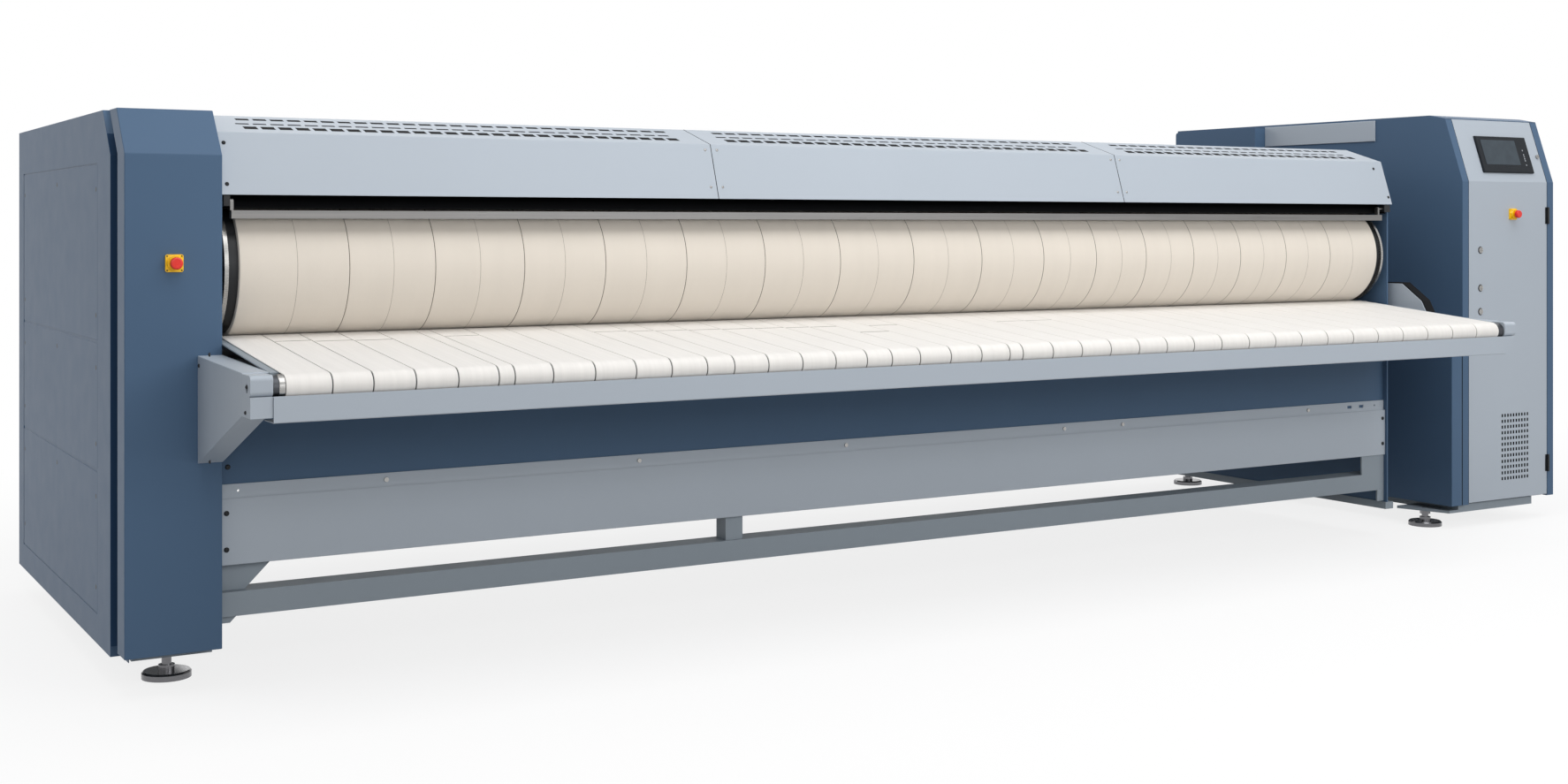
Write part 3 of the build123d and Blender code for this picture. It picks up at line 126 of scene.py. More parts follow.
# dark socket screws of the table brackets and the cross panel as (x, y, z, way out, radius)
FRAME_SCREWS = (
    (169, -14, 790, (-1, 0, 0), 5.0), (169, -117, 823, (-1, 0, 0), 5.0),
    (169, -121, 572, (-1, 0, 0), 4.5), (169, -438, 715, (-1, 0, 0), 4.5),
    (169, -448, 772, (-1, 0, 0), 4.5), (251, 45, 535, (0, -1, 0), 6.5),
    (246, 36, 423, (0, -1, 0), 6.5), (246, 36, 334, (0, -1, 0), 6.5),
    (4364, 36, 428, (0, -1, 0), 6.5), (4364, 36, 337, (0, -1, 0), 6.5))

# side panels and the black strips behind their gaps, which are painted shade: x of the outer and
# inner side, and the rest in metres
PANEL_SIDES = (0.35, 2.0)
GAP_SHADE_SIDES = (2.1, 2.9)
PANEL_INSET = 0.003
PANEL_ROLLED_EDGE = 0.0014
GAP_SHADE_INNER_LAP = 0.004
GAP_SHADE_OUTER_LAP = 0.003

# seams of the roll's cover as (x, depth of the groove)
ROLL_SEAMS = tuple((x, 1.3) for x in (
    545, 771, 1018, 1255, 1504, 1758, 2014, 2277, 2533, 2777, 2993, 3206, 3417, 3632, 3849,
    4066)) + tuple((x, 0.4) for x in (
    413, 660, 894, 1135, 1379, 1631, 1886, 2148, 2405, 2657, 2885, 3101, 3315, 3526, 3741, 3956,
    4181))

# middle of each gap between two feed belts
BELT_GAPS = (
    352, 446, 546, 648, 748, 788, 886, 996, 1106, 1204, 1304, 1382, 1482, 1584, 1686, 1784, 1864,
    1956, 2058, 2162, 2260, 2306, 2414, 2520, 2628, 2736, 2844, 2952, 3064, 3178, 3290, 3404,
    3518, 3634, 3748, 3866, 3984, 4106, 4226)

# joined belts as (belt number from the left, distance behind the front covers, strength from 0
# to 1 that sets how wide the joint's line is)
BELT_JOINTS = (
    (1, 3, 1.0), (2, -15, 1.0), (3, -22, 1.0), (6, -4, 0.6), (10, -18, 0.5), (11, -26, 0.5),
    (12, -34, 0.6), (13, -38, 0.7), (14, -45, 0.7), (15, -50, 0.7), (16, -56, 0.8),
    (17, -60, 0.8), (18, -178, 1.0), (19, -70, 0.5), (24, -76, 0.3), (25, -77, 0.3))

# directions: along the machine to the right, and out of its front
ALONG = Vector((1, 0, 0))
FORWARD = Vector((0, -1, 0))


def place(x, y, z):
    """Point in the shared frame, in metres, of a place in the machine's millimetres."""
    return Vector(((x - MIDDLE_X) / 1000, (y - MIDDLE_Y) / 1000, z / 1000))


# ---- materials
ROLL_COLOUR = (226, 219, 209)
BELT_COLOUR = (231, 228, 224)


def linear(red, green, blue):
    """Linear colour of an sRGB colour written from 0 to 255."""
    parts = []
    for value in (red, green, blue):
        share = value / 255
        parts.append(share / 12.92 if share <= 0.04045 else ((share + 0.055) / 1.055) ** 2.4)
    return (*parts, 1.0)


def scaled(colour, factor):
    """A linear colour made lighter or darker."""
    return (*(min(1.0, part * factor) for part in colour[:3]), 1.0)


def new_material(name):
    """Material, its node tree and its shader."""
    material = bpy.data.materials.new(name)
    material.use_nodes = True
    return material, material.node_tree, material.node_tree.nodes["Principled BSDF"]


def add(tree, kind, **values):
    """New node with some of its own settings."""
    made = tree.nodes.new(kind)
    for key, value in values.items():
        setattr(made, key, value)
    return made


def noise(tree, vector, scale, detail):
    """Noise texture over a coordinate."""
    made = add(tree, "ShaderNodeTexNoise")
    made.inputs["Scale"].default_value = scale
    made.inputs["Detail"].default_value = detail
    tree.links.new(vector, made.inputs["Vector"])
    return made.outputs["Fac"]


def spread(tree, value, low, high, out_low=0.0, out_high=1.0):
    """Map one range of a value on another."""
    made = add(tree, "ShaderNodeMapRange")
    for socket, number in zip(("From Min", "From Max", "To Min", "To Max"),
                              (low, high, out_low, out_high)):
        made.inputs[socket].default_value = number
    tree.links.new(value, made.inputs["Value"])
    return made.outputs["Result"]


def drifting(tree, pattern, low=0.0, high=1.0):
    """Noise, which mostly lies from 0.3 to 0.7, mapped on a range."""
    return spread(tree, pattern, 0.3, 0.7, low, high)


def mixed(tree, **settings):
    """Colour mix node, its two colour inputs and its colour output."""
    made = add(tree, "ShaderNodeMix", data_type="RGBA", **settings)
    colours = [socket for socket in made.inputs if socket.type == "RGBA"]
    return made, colours, [socket for socket in made.outputs if socket.type == "RGBA"][0]


def two_tone(tree, factor, dark, light):
    """Colour between two tones."""
    made, colours, colour = mixed(tree)
    colours[0].default_value = dark
    colours[1].default_value = light
    tree.links.new(factor, made.inputs[0])
    return colour


def tinted(tree, pattern, colour, darker, lighter):
    """Colour that drifts with a noise between two strengths."""
    return two_tone(tree, drifting(tree, pattern), scaled(colour, darker),
                    scaled(colour, lighter))


def math(tree, operation, first, second=0.0, third=None):
    """Math node over outputs or numbers."""
    made = add(tree, "ShaderNodeMath", operation=operation)
    for socket, value in zip(made.inputs, (first, second, third)):
        if value is None:
            continue
        if isinstance(value, (int, float)):
            socket.default_value = value
        else:
            tree.links.new(value, socket)
    return made.outputs["Value"]


def bump(tree, shader, height, distance, strength):
    """Fine relief on a shader, in metres."""
    made = add(tree, "ShaderNodeBump")
    made.inputs["Distance"].default_value = distance
    made.inputs["Strength"].default_value = strength
    tree.links.new(height, made.inputs["Height"])
    tree.links.new(made.outputs["Normal"], shader.inputs["Normal"])


def object_place(tree, stretch=(1.0, 1.0, 1.0)):
    """Object coordinates, stretched along the axes."""
    coordinates = add(tree, "ShaderNodeTexCoord")
    mapping = add(tree, "ShaderNodeMapping")
    mapping.inputs["Scale"].default_value = stretch
    tree.links.new(coordinates.outputs["Object"], mapping.inputs["Vector"])
    return mapping.outputs["Vector"]


def object_axes(tree):
    """Node whose outputs are the object coordinates X, Y and Z."""
    coordinates = add(tree, "ShaderNodeTexCoord")
    axes = add(tree, "ShaderNodeSeparateXYZ")
    tree.links.new(coordinates.outputs["Object"], axes.inputs["Vector"])
    return axes


def paint(name, colour, roughness, shine=0.4):
    """Powder coat: slight tone drift, orange peel and uneven gloss."""
    orange_peel = 0.00012
    material, tree, shader = new_material(name)
    where = object_place(tree)
    tone = tinted(tree, noise(tree, where, 1.3, 3.0), colour, 0.985, 1.015)
    tree.links.new(tone, shader.inputs["Base Color"])
    gloss = drifting(tree, noise(tree, where, 14.0, 5.0), roughness - 0.02, roughness + 0.02)
    tree.links.new(gloss, shader.inputs["Roughness"])
    shader.inputs["Specular IOR Level"].default_value = shine
    bump(tree, shader, noise(tree, where, 650.0, 1.0), orange_peel, 0.5)
    return material


def brushed(name, colour, roughness, stretch=(3.0, 500.0, 500.0)):
    """Metal with fine lines along one axis."""
    line_depth = 0.00004
    material, tree, shader = new_material(name)
    lines = noise(tree, object_place(tree, stretch), 1.0, 3.0)
    tone = tinted(tree, lines, colour, 0.9, 1.06)
    tree.links.new(tone, shader.inputs["Base Color"])
    smear = drifting(tree, noise(tree, object_place(tree), 9.0, 4.0), -0.05, 0.07)
    gloss = drifting(tree, lines, roughness - 0.04, roughness + 0.06)
    tree.links.new(math(tree, "ADD", gloss, smear), shader.inputs["Roughness"])
    shader.inputs["Metallic"].default_value = 1.0
    shader.inputs["Anisotropic"].default_value = 0.4
    bump(tree, shader, lines, line_depth, 0.5)
    return material


def plastic(name, colour, roughness, shine=0.5):
    """Moulded plastic with a fine grain."""
    grain_depth = 0.00008
    material, tree, shader = new_material(name)
    where = object_place(tree)
    tone = tinted(tree, noise(tree, where, 30.0, 3.0), colour, 0.95, 1.05)
    tree.links.new(tone, shader.inputs["Base Color"])
    gloss = drifting(tree, noise(tree, where, 60.0, 4.0), roughness - 0.05, roughness + 0.05)
    tree.links.new(gloss, shader.inputs["Roughness"])
    bump(tree, shader, noise(tree, where, 900.0, 2.0), grain_depth, 0.5)
    shader.inputs["Specular IOR Level"].default_value = shine
    return material


def casting(name, colour):
    """Painted cast iron with its sand texture."""
    sand_depth = 0.0006
    material, tree, shader = new_material(name)
    sand = noise(tree, object_place(tree), 420.0, 6.0)
    tone = tinted(tree, sand, colour, 0.85, 1.1)
    tree.links.new(tone, shader.inputs["Base Color"])
    shader.inputs["Roughness"].default_value = 0.5
    bump(tree, shader, sand, sand_depth, 0.6)
    return material


def weave(tree, along, around, pitch):
    """Height of a plain weave over two lengths in metres, from 0 to 1."""
    turns = 2 * pi / pitch
    warp = math(tree, "SINE", math(tree, "MULTIPLY", along, turns))
    weft = math(tree, "SINE", math(tree, "MULTIPLY", around, turns))
    crossing = math(tree, "MULTIPLY", warp, weft)
    return math(tree, "MULTIPLY_ADD", crossing, 0.5, 0.5)


def roll_cloth():
    """Woven cover of the roll, with faint streaks and slightly worn patches."""
    thread_pitch, relief = 0.0022, 0.00022
    material, tree, shader = new_material("roll_cloth")
    split = object_axes(tree)
    centre = place(0, ROLL_Y, ROLL_Z)
    across = math(tree, "SUBTRACT", split.outputs["Y"], centre.y)
    up = math(tree, "SUBTRACT", split.outputs["Z"], centre.z)
    angle = math(tree, "ARCTAN2", across, up)
    around = math(tree, "MULTIPLY", angle, ROLL_RADIUS / 1000)
    threads = weave(tree, split.outputs["X"], around, thread_pitch)
    streaks = noise(tree, object_place(tree, (24.0, 3.0, 3.0)), 1.0, 3.0)
    blotches = noise(tree, object_place(tree), 4.0, 4.0)
    base = linear(*ROLL_COLOUR)
    tone = tinted(tree, streaks, base, 0.985, 1.01)
    worn = two_tone(tree, spread(tree, blotches, 0.35, 0.7), scaled(base, 0.97), base)
    blend, colours, colour = mixed(tree, blend_type="MULTIPLY")
    blend.inputs[0].default_value = 0.25
    tree.links.new(tone, colours[0])
    tree.links.new(worn, colours[1])
    tree.links.new(colour, shader.inputs["Base Color"])
    shader.inputs["Roughness"].default_value = 0.85
    shader.inputs["Sheen Weight"].default_value = 0.25
    shader.inputs["Sheen Roughness"].default_value = 0.5
    height = math(tree, "MULTIPLY_ADD", streaks, 0.3, threads)
    bump(tree, shader, height, relief, 0.5)
    return material


def belt_cloth():
    """Smooth woven belting with faint streaks along its run."""
    thread_pitch, relief = 0.0014, 0.00018
    material, tree, shader = new_material("belt_cloth")
    split = object_axes(tree)
    threads = weave(tree, split.outputs["X"], split.outputs["Y"], thread_pitch)
    streaks = noise(tree, object_place(tree, (90.0, 2.5, 2.5)), 1.0, 4.0)
    base = linear(*BELT_COLOUR)
    tone = tinted(tree, streaks, base, 0.96, 1.02)
    tree.links.new(tone, shader.inputs["Base Color"])
    shader.inputs["Roughness"].default_value = 0.62
    shader.inputs["Sheen Weight"].default_value = 0.15
    height = math(tree, "MULTIPLY_ADD", streaks, 0.5, threads)
    bump(tree, shader, height, relief, 0.5)
    return material


def glass_screen():
    """Dark display glass with a faint cast and fine smudges."""
    material, tree, shader = new_material("screen_glass")
    where = object_place(tree)
    smudge = noise(tree, where, 22.0, 5.0)
    tone = two_tone(tree, drifting(tree, smudge), linear(58, 67, 75), linear(64, 74, 82))
    tree.links.new(tone, shader.inputs["Base Color"])
    tree.links.new(drifting(tree, smudge, 0.12, 0.24), shader.inputs["Roughness"])
    shader.inputs["Specular IOR Level"].default_value = 0.15
    bump(tree, shader, noise(tree, where, 300.0, 1.0), 1e-5, 0.3)
    return material


materials = {
    "cabinet_blue": paint("cabinet_blue", linear(76, 100, 127), 0.44, shine=0.16),
    "panel_grey": paint("panel_grey", linear(171, 180, 190), 0.42),
    "frame_grey": paint("frame_grey", linear(142, 152, 161), 0.46, shine=0.3),
    "stainless": brushed("stainless", linear(166, 165, 163), 0.24),
    "machined_steel": brushed("machined_steel", linear(168, 168, 170), 0.32,
                              (400.0, 4.0, 4.0)),
    "dark_steel": paint("dark_steel", linear(27, 29, 32), 0.4, shine=0.3),
    "cast_housing": casting("cast_housing", linear(92, 100, 108)),
    "fan_aluminium": brushed("fan_aluminium", linear(190, 191, 194), 0.4, (200.0, 200.0, 4.0)),
    "roll_cloth": roll_cloth(),
    "belt_cloth": belt_cloth(),
    "black_plastic": plastic("black_plastic", linear(24, 27, 31), 0.4, shine=0.25),
    "yellow_plastic": plastic("yellow_plastic", linear(252, 200, 14), 0.3),
    "red_plastic": plastic("red_plastic", linear(226, 42, 30), 0.24),
    "screen_glass": glass_screen(),
}
# darker blue that stands in for the shade in the left cabinet's groove, as painted shade
groove_shade_blue = paint("groove_shade_blue", linear(42, 68, 98), 0.6, shine=0.1)
# near-black that stands in for shade: painted shade in the vent slots, in the gaps round the
# door, the recess box and the side panels, in the hood's seams and under the hood
painted_shade_black = paint("painted_shade_black", linear(14, 15, 17), 0.7, shine=0.1)
guard_steel = brushed("guard_steel", linear(122, 121, 120), 0.34)
bezel_black = plastic("bezel_black", linear(22, 27, 33), 0.45, shine=0.15)
foot_chrome = brushed("foot_chrome", linear(118, 118, 121), 0.18)
roller_dark = brushed("roller_dark", linear(74, 76, 80), 0.42)
key_mark = plastic("key_mark", linear(150, 156, 162), 0.4)
# dark line sewn in the roll's seams, darkened further as painted shade of the seam's groove
seam_thread_shade = plastic("seam_thread_shade", linear(84, 72, 60), 0.8)
joint_cloth = plastic("joint_cloth", linear(92, 86, 80), 0.8)


# ---- carrying over and dressing the CAD nodes
# the hood's liner takes painted shade black for the shade under the hood; the side seal plate is
# a black plate made darker with it, as painted shade of its gap
OWN_FINISH = {"guard_bar": guard_steel, "side_seal_plate": painted_shade_black, "hood_liner": painted_shade_black,
              "front_feed_roller": roller_dark, "touch_panel": bezel_black,
              "levelling_feet": foot_chrome}
slot_of = {part["node"]: part["material_slot"] for part in frame["record"]["subparts"]}
body_of = {name: body for body, names in frame["record"]["behaviour"]["bodies"].items()
           for name in names}


def finish_of(node):
    """Material of a node: its own where it has one, or its slot's."""
    return OWN_FINISH.get(node) or materials[slot_of[node]]


def adopt(piece, node):
    """Let a new piece stand for a CAD node, on its body and with its finish."""
    piece.data.materials.clear()
    piece.data.materials.append(finish_of(node))
    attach(piece, body_of[node])
    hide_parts(node)
    return piece


def link(name, mesh):
    """New object for a mesh."""
    piece = bpy.data.objects.new(name, mesh)
    bpy.context.scene.collection.objects.link(piece)
    return piece


def shade(piece):
    """Smooth shading that keeps edges of 32 degrees and more sharp and flat faces flat."""
    for face in piece.data.polygons:
        face.use_smooth = True
    piece.data.set_sharp_from_angle(angle=radians(32))
    normals = piece.modifiers.new("normals", "WEIGHTED_NORMAL")
    normals.keep_sharp = True
    return piece


def finished(name, work):
    """Object of a built mesh, its faces turned outwards."""
    bmesh.ops.recalc_face_normals(work, faces=work.faces)
    mesh = bpy.data.meshes.new(name)
    work.to_mesh(mesh)
    work.free()
    return shade(link(name, mesh))


def wear(piece, body, slot, finish=None):
    """Let an added piece ride on a body, with the finish of a slot or one of its own."""
    piece.data.materials.append(finish or materials[slot])
    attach(piece, body)


def turned(work, profile, first, direction, segments):
    """Add the surface of (distance, radius) points turned round an axis, in metres. It is
    closed where the last point is the first one."""
    turn = direction.normalized().to_track_quat("Z", "Y").to_matrix()
    rings = []
    for along, radius in profile:
        count = 1 if radius < 1e-6 else segments
        angles = [2 * pi * i / count for i in range(count)]
        rings.append([work.verts.new(first + turn @ Vector((radius * cos(a), radius * sin(a),
                                                            along))) for a in angles])
    if profile[0] == profile[-1]:
        for vert in rings.pop():
            work.verts.remove(vert)
        rings.append(rings[0])
    for before, after in zip(rings, rings[1:]):
        for i in range(segments):
            k = i + 1
            corners = (before[i % len(before)], before[k % len(before)],
                       after[k % len(after)], after[i % len(after)])
            distinct = list(dict.fromkeys(corners))
            if len(distinct) > 2:
                work.faces.new(distinct)


def swept(work, section, first_x, last_x):
    """Add a closed (y, z) outline, in machine millimetres, drawn out from one x to another."""
    ends = [[work.verts.new(place(x, y, z)) for y, z in section] for x in (first_x, last_x)]
    work.faces.new(ends[0])
    work.faces.new(ends[1][::-1])
    for i in range(len(section)):
        k = (i + 1) % len(section)
        work.faces.new((ends[0][i], ends[0][k], ends[1][k], ends[1][i]))


def beside(line, distance):
    """Open (y, z) line moved sideways, with mitred corners."""
    moved = []
    for i, point in enumerate(line):
        here = Vector(point)
        into = (here - Vector(line[i - 1])).normalized() if i else None
        out = (Vector(line[i + 1]) - here).normalized() if i < len(line) - 1 else None
        sides = [Vector((-way.y, way.x)) for way in (into, out) if way]
        middle = sum(sides, Vector((0, 0))).normalized()
        moved.append(tuple(here + middle * distance / middle.dot(sides[0])))
    return moved


def along_and_out(start, end):
    """Unit (y, z) vectors along a line and out of it, to its upper or front side."""
    ahead = (Vector(end) - Vector(start)).normalized()
    return ahead, Vector((-ahead.y, ahead.x))


def way_out(line):
    """Unit direction out of a sheet that follows a straight (y, z) line."""
    return Vector((0, *along_and_out(*line)[1]))


def strip(work, line, near, far, first_x, last_x):
    """Add a bent sheet that follows a (y, z) line between two distances beside it."""
    swept(work, beside(line, near) + beside(line, far)[::-1], first_x, last_x)


def wide_edges(work, radius):
    """Convex edges between two faces that are both much wider than a radius."""
    least_turn, least_length, least_width = radians(12), 3 * radius, 2.4 * radius
    found = []
    for edge in work.edges:
        if len(edge.link_faces) != 2 or not edge.is_convex:
            continue
        length = edge.calc_length()
        if edge.calc_face_angle(0.0) < least_turn or length < least_length:
            continue
        if min(face.calc_area() for face in edge.link_faces) / length > least_width:
            found.append(edge)
    return found


def dress(node, radius=0.0025, segments=3):
    """Copy of a CAD node whose folds and corners are rounded as on bent sheet."""
    mesh = frame["nodes"][node].data.copy()
    work = bmesh.new()
    work.from_mesh(mesh)
    bmesh.ops.remove_doubles(work, verts=work.verts, dist=1e-6)
    bmesh.ops.dissolve_limit(work, angle_limit=radians(0.4), verts=work.verts, edges=work.edges)
    bmesh.ops.bevel(work, geom=wide_edges(work, radius), offset=radius, segments=segments,
                    profile=0.5, affect="EDGES", clamp_overlap=True)
    work.to_mesh(mesh)
    work.free()
    shade(adopt(link(node + "_finished", mesh), node))


SHEET_PARTS = ("left_front_cover", "left_side_casing", "right_inner_side",
               "right_outer_side", "right_top_cover", "control_door", "hood_panels",
               "table_fascia", "table_brackets", "table_end_blocks", "cross_panel",
               "lower_beams", "guard_bar", "rear_duct_box", "duct_cover_plate", "recess_panel")
FINE_PARTS = ("estop_housing_left", "estop_housing_right", "door_latch_1", "door_latch_2",
              "door_latch_3", "touch_panel", "guard_brackets", "side_seal_plate")


def carry_over():
    """Finish every CAD node that stays as it is."""
    for name, piece in frame["nodes"].items():
        piece.data.materials.clear()
        piece.data.materials.append(finish_of(name))


# ---- the roll's cover
def roll_outline():
    """Closed (x, radius) outline of the cover: rolled ends and a shallow groove at each seam."""
    outer = ROLL_RADIUS
    inner = ROLL_RADIUS - ROLL_COVER_THICKNESS
    rolled, corner = 4.0, 1.2
    points = [(ROLL_LEFT, inner), (ROLL_LEFT, outer - rolled),
              (ROLL_LEFT + corner, outer - corner), (ROLL_LEFT + rolled, outer)]
    shoulder, bottom = 1.2, 0.5
    for x, depth in sorted(ROLL_SEAMS):
        fold, sunk = 4.5 * depth, 0.3 * depth
        points += [(x - fold, outer), (x - shoulder, outer - sunk), (x - bottom, outer - depth),
                   (x + bottom, outer - depth), (x + shoulder, outer - sunk), (x + fold, outer)]
    points += [(ROLL_RIGHT - rolled, outer), (ROLL_RIGHT - corner, outer - corner),
               (ROLL_RIGHT, outer - rolled), (ROLL_RIGHT, inner)]
    return points + points[:1]


def in_metres(points):
    """A (distance, radius) outline in metres."""
    return [(along / 1000, radius / 1000) for along, radius in points]


def roll_cover():
    """Padded cloth sleeve of the roll, and the sewn line in each seam, whose dark colour is
    partly painted shade of the seam's groove.
    """
    axis = place(0, ROLL_Y, ROLL_Z)
    work = bmesh.new()
    turned(work, in_metres(roll_outline()), axis, ALONG, 160)
    cover = adopt(finished("roll_cloth_sleeve", work), "roll_cover")
    work = bmesh.new()
    for x, depth in ROLL_SEAMS:
        half = 0.1 + 0.33 * depth
        low = ROLL_RADIUS - depth
        high = ROLL_RADIUS - 0.4 * depth
        line = [(x - half, low - 0.3), (x - half, high), (x + half, high), (x + half, low - 0.3)]
        turned(work, in_metres(line + line[:1]), axis, ALONG, 120)
    wear(finished("roll_seams", work), "roll", "roll_cloth", seam_thread_shade)


# ---- the feed belts
def loop_stations(front_steps=22, rear_steps=10, run_steps=5):
    """Middles and outward directions, as (y, z), once round both feed rollers."""
    front, rear = Vector(FRONT_ROLLER), Vector(REAR_ROLLER)
    ahead, up = along_and_out(front, rear)

    def outward(turn):
        return ahead * cos(turn) + up * sin(turn)

    stations = [(front, outward(pi * (0.5 + i / front_steps))) for i in range(front_steps + 1)]
    stations += [(front.lerp(rear, i / run_steps), -up) for i in range(1, run_steps)]
    stations += [(rear, outward(pi * (1.5 + i / rear_steps))) for i in range(rear_steps + 1)]
    stations += [(rear.lerp(front, i / run_steps), up) for i in range(1, run_steps)]
    return stations


def feed_belts():
    """Woven belts side by side, each an endless loop with softened edges."""
    work = bmesh.new()
    edges = (BELT_LEFT - BELT_SPACING / 2, *BELT_GAPS, BELT_RIGHT + BELT_SPACING / 2)
    outer = BELT_INNER_RADIUS + BELT_THICKNESS
    soft = 0.8
    for gap_left, gap_right in zip(edges, edges[1:]):
        left, right = gap_left + BELT_SPACING / 2, gap_right - BELT_SPACING / 2
        section = ((left, BELT_INNER_RADIUS), (left, outer - soft), (left + soft, outer),
                   (right - soft, outer), (right, outer - soft), (right, BELT_INNER_RADIUS))
        rings = []
        for middle, outward in loop_stations():
            ring = []
            for x, radius in section:
                spot = middle + outward * radius
                ring.append(work.verts.new(place(x, spot.x, spot.y)))
            rings.append(ring)
        for i, ring in enumerate(rings):
            after = rings[(i + 1) % len(rings)]
            for j in range(len(section)):
                k = (j + 1) % len(section)
                work.faces.new((ring[j], ring[k], after[k], after[j]))
    adopt(finished("woven_feed_belts", work), "feed_belts")


def belt_joints():
    """Thin lap where the ends of a belt are joined."""
    ahead, up = along_and_out(FRONT_ROLLER, REAR_ROLLER)
    edges = (BELT_LEFT, *BELT_GAPS, BELT_RIGHT)
    top = BELT_INNER_RADIUS + BELT_THICKNESS
    sunk, proud, side = 0.2, 0.3, 2.5
    work = bmesh.new()
    for number, y, strength in BELT_JOINTS:
        middle = Vector(FRONT_ROLLER) + up * top
        middle += ahead * (y - middle.x) / ahead.x
        half = 0.5 + 1.2 * strength
        section = [middle + ahead * along + up * lift
                   for along, lift in ((-half, -sunk), (-half, proud), (half, proud),
                                       (half, -sunk))]
        swept(work, [tuple(point) for point in section], edges[number] + side,
              edges[number + 1] - side)
    wear(finished("belt_joints", work), "frame", "belt_cloth", joint_cloth)


def roller_collar():
    """Bright collar at the left end of the front roller."""
    bore, rim, top, corner = 26.0, 28.0, 28.8, 0.8
    line = [(COLLAR_LEFT, bore), (COLLAR_LEFT, rim), (COLLAR_LEFT + corner, top),
            (COLLAR_RIGHT - corner, top), (COLLAR_RIGHT, rim), (COLLAR_RIGHT, bore)]
    work = bmesh.new()
    turned(work, in_metres(line + line[:1]), place(0, *FRONT_ROLLER), ALONG, 64)
    wear(finished("front_roller_collar", work), "front_roller", "stainless")


# ---- dark insides, gaps and small fasteners
def groove_shade_lining():
    """Lining of the left cabinet's groove in darker blue, painted shade of the groove: both its
    walls and its bottom.
    """
    line = [(0.0, LEFT_COVER_BOTTOM), *LEFT_SLOPE]
    thick = 0.6
    front = LEFT_COVER_DEPTH + thick
    back = LEFT_COVER_DEPTH + GROOVE_WIDTH - thick
    mouth, bottom = 0.8, GROOVE_DEPTH - 0.4
    work = bmesh.new()
    for near, far, first, last in ((front, front + thick, mouth, bottom),
                                   (front, back, bottom - 0.3, bottom + 0.1),
                                   (back - thick, back, mouth, bottom)):
        rear = [(y + far, z) for y, z in line]
        swept(work, [(y + near, z) for y, z in line] + rear[::-1], first, last)
    wear(finished("groove_shade_lining", work), "frame", "cabinet_blue", groove_shade_blue)


def top_strip():
    """Closing plate in the left cabinet's top, between its cover and its casing."""
    slope_end, top = LEFT_SLOPE[1]
    front = slope_end + LEFT_COVER_DEPTH + 0.2
    back = slope_end + LEFT_COVER_DEPTH + GROOVE_WIDTH + 5.0
    low, high, corner = top - 1.0, top + 0.7, 0.6
    left, right = GROOVE_DEPTH + 2.4, LEFT_CASING_RIGHT - 0.8
    work = bmesh.new()
    swept(work, [(front, low), (back, low), (back, high), (front + corner, high),
                 (front, high - corner)], left, right)
    wear(finished("left_top_strip", work), "frame", "cabinet_blue")


def vent_shade_screens():
    """Dark screen in each vent slot of the hood, just under the sheet's face, painted shade of
    the hood's dark inside.
    """
    clear, top, underside = 0.1, 0.4, 1.2
    start = Vector(HOOD_LINE[1])
    ahead, out = along_and_out(HOOD_LINE[1], HOOD_LINE[2])
    edges = (HOOD_LEFT, *HOOD_SEAMS, HOOD_RIGHT)
    reach = VENT_LENGTH / 2 - 2 * clear
    work = bmesh.new()
    for left, right in zip(edges, edges[1:]):
        columns = int((right - left - 2 * VENT_MARGIN) / VENT_PITCH)
        first = (left + right - columns * VENT_PITCH) / 2
        for row, (along, width) in enumerate(VENT_ROWS):
            half = width / 2 - clear
            near, far = start + ahead * (along - half), start + ahead * (along + half)
            section = [tuple(spot - out * depth) for spot, depth in (
                (near, top), (far, top), (far, underside), (near, underside))]
            stagger = 0.25 if row % 2 else 0.5
            for column in range(columns):
                x = first + VENT_PITCH * (column + stagger)
                swept(work, section, x - reach, x + reach)
    wear(finished("hood_vent_shade_screens", work), "frame", "dark_steel", painted_shade_black)


def door_vent_shade_screen():
    """Dark screen in each of the door's vent slots, just under its face, painted shade of the
    dark inside behind the door.
    """
    clear, face, back = 0.1, 0.3, 1.1
    span = DOOR_VENT_RIGHT - DOOR_VENT_LEFT - DOOR_VENT_SLOT_WIDTH
    work = bmesh.new()
    for row in range(DOOR_VENT_ROWS):
        low = DOOR_VENT_BOTTOM + row * DOOR_VENT_ROW_PITCH + clear
        top = low + DOOR_VENT_SLOT_HEIGHT - 2 * clear
        for column in range(DOOR_VENT_COLUMNS):
            x = DOOR_VENT_LEFT + column * span / (DOOR_VENT_COLUMNS - 1)
            swept(work, [(face, low), (back, low), (back, top), (face, top)],
                  x + clear, x + DOOR_VENT_SLOT_WIDTH - clear)
    wear(finished("door_vent_shade_screen", work), "door", "dark_steel", painted_shade_black)


def cabinet_gaps():
    """Dark strips along the door's sides and beside the recess box, painted shade of the gaps
    there.
    """
    proud = 0.2
    work = bmesh.new()
    for left, right in DOOR_GAP_SHADES:
        strip(work, [(0.0, DOOR_BOTTOM), *DOOR_SLOPE], -0.5, proud, left, right)
    low, high = RECESS_GAP_SHADE_HEIGHTS
    swept(work, [(-proud, low), (0.4, low), (0.4, high), (-proud, high)], *RECESS_GAP_SHADE)
    wear(finished("cabinet_gap_shades", work), "frame", "black_plastic", painted_shade_black)


def on_door_slope(along, out):
    """The (y, z) of a place up the door's sloping face and out of it."""
    ahead, outward = along_and_out(*DOOR_SLOPE)
    return Vector(DOOR_SLOPE[0]) + ahead * along + outward * out


def display_keys():
    """Membrane keys in a column beside the display."""
    facing = way_out(DOOR_SLOPE)
    button = in_metres([(0.0, 3.0), (0.4, 3.0), (0.6, 2.4), (0.6, 0.0)])
    work = bmesh.new()
    for along in DISPLAY_KEYS:
        spot = on_door_slope(along, TOUCH_PANEL_FACE)
        turned(work, button, place(DISPLAY_KEYS_X, *spot), facing, 20)
    wear(finished("display_keys", work), "door", "black_plastic", key_mark)


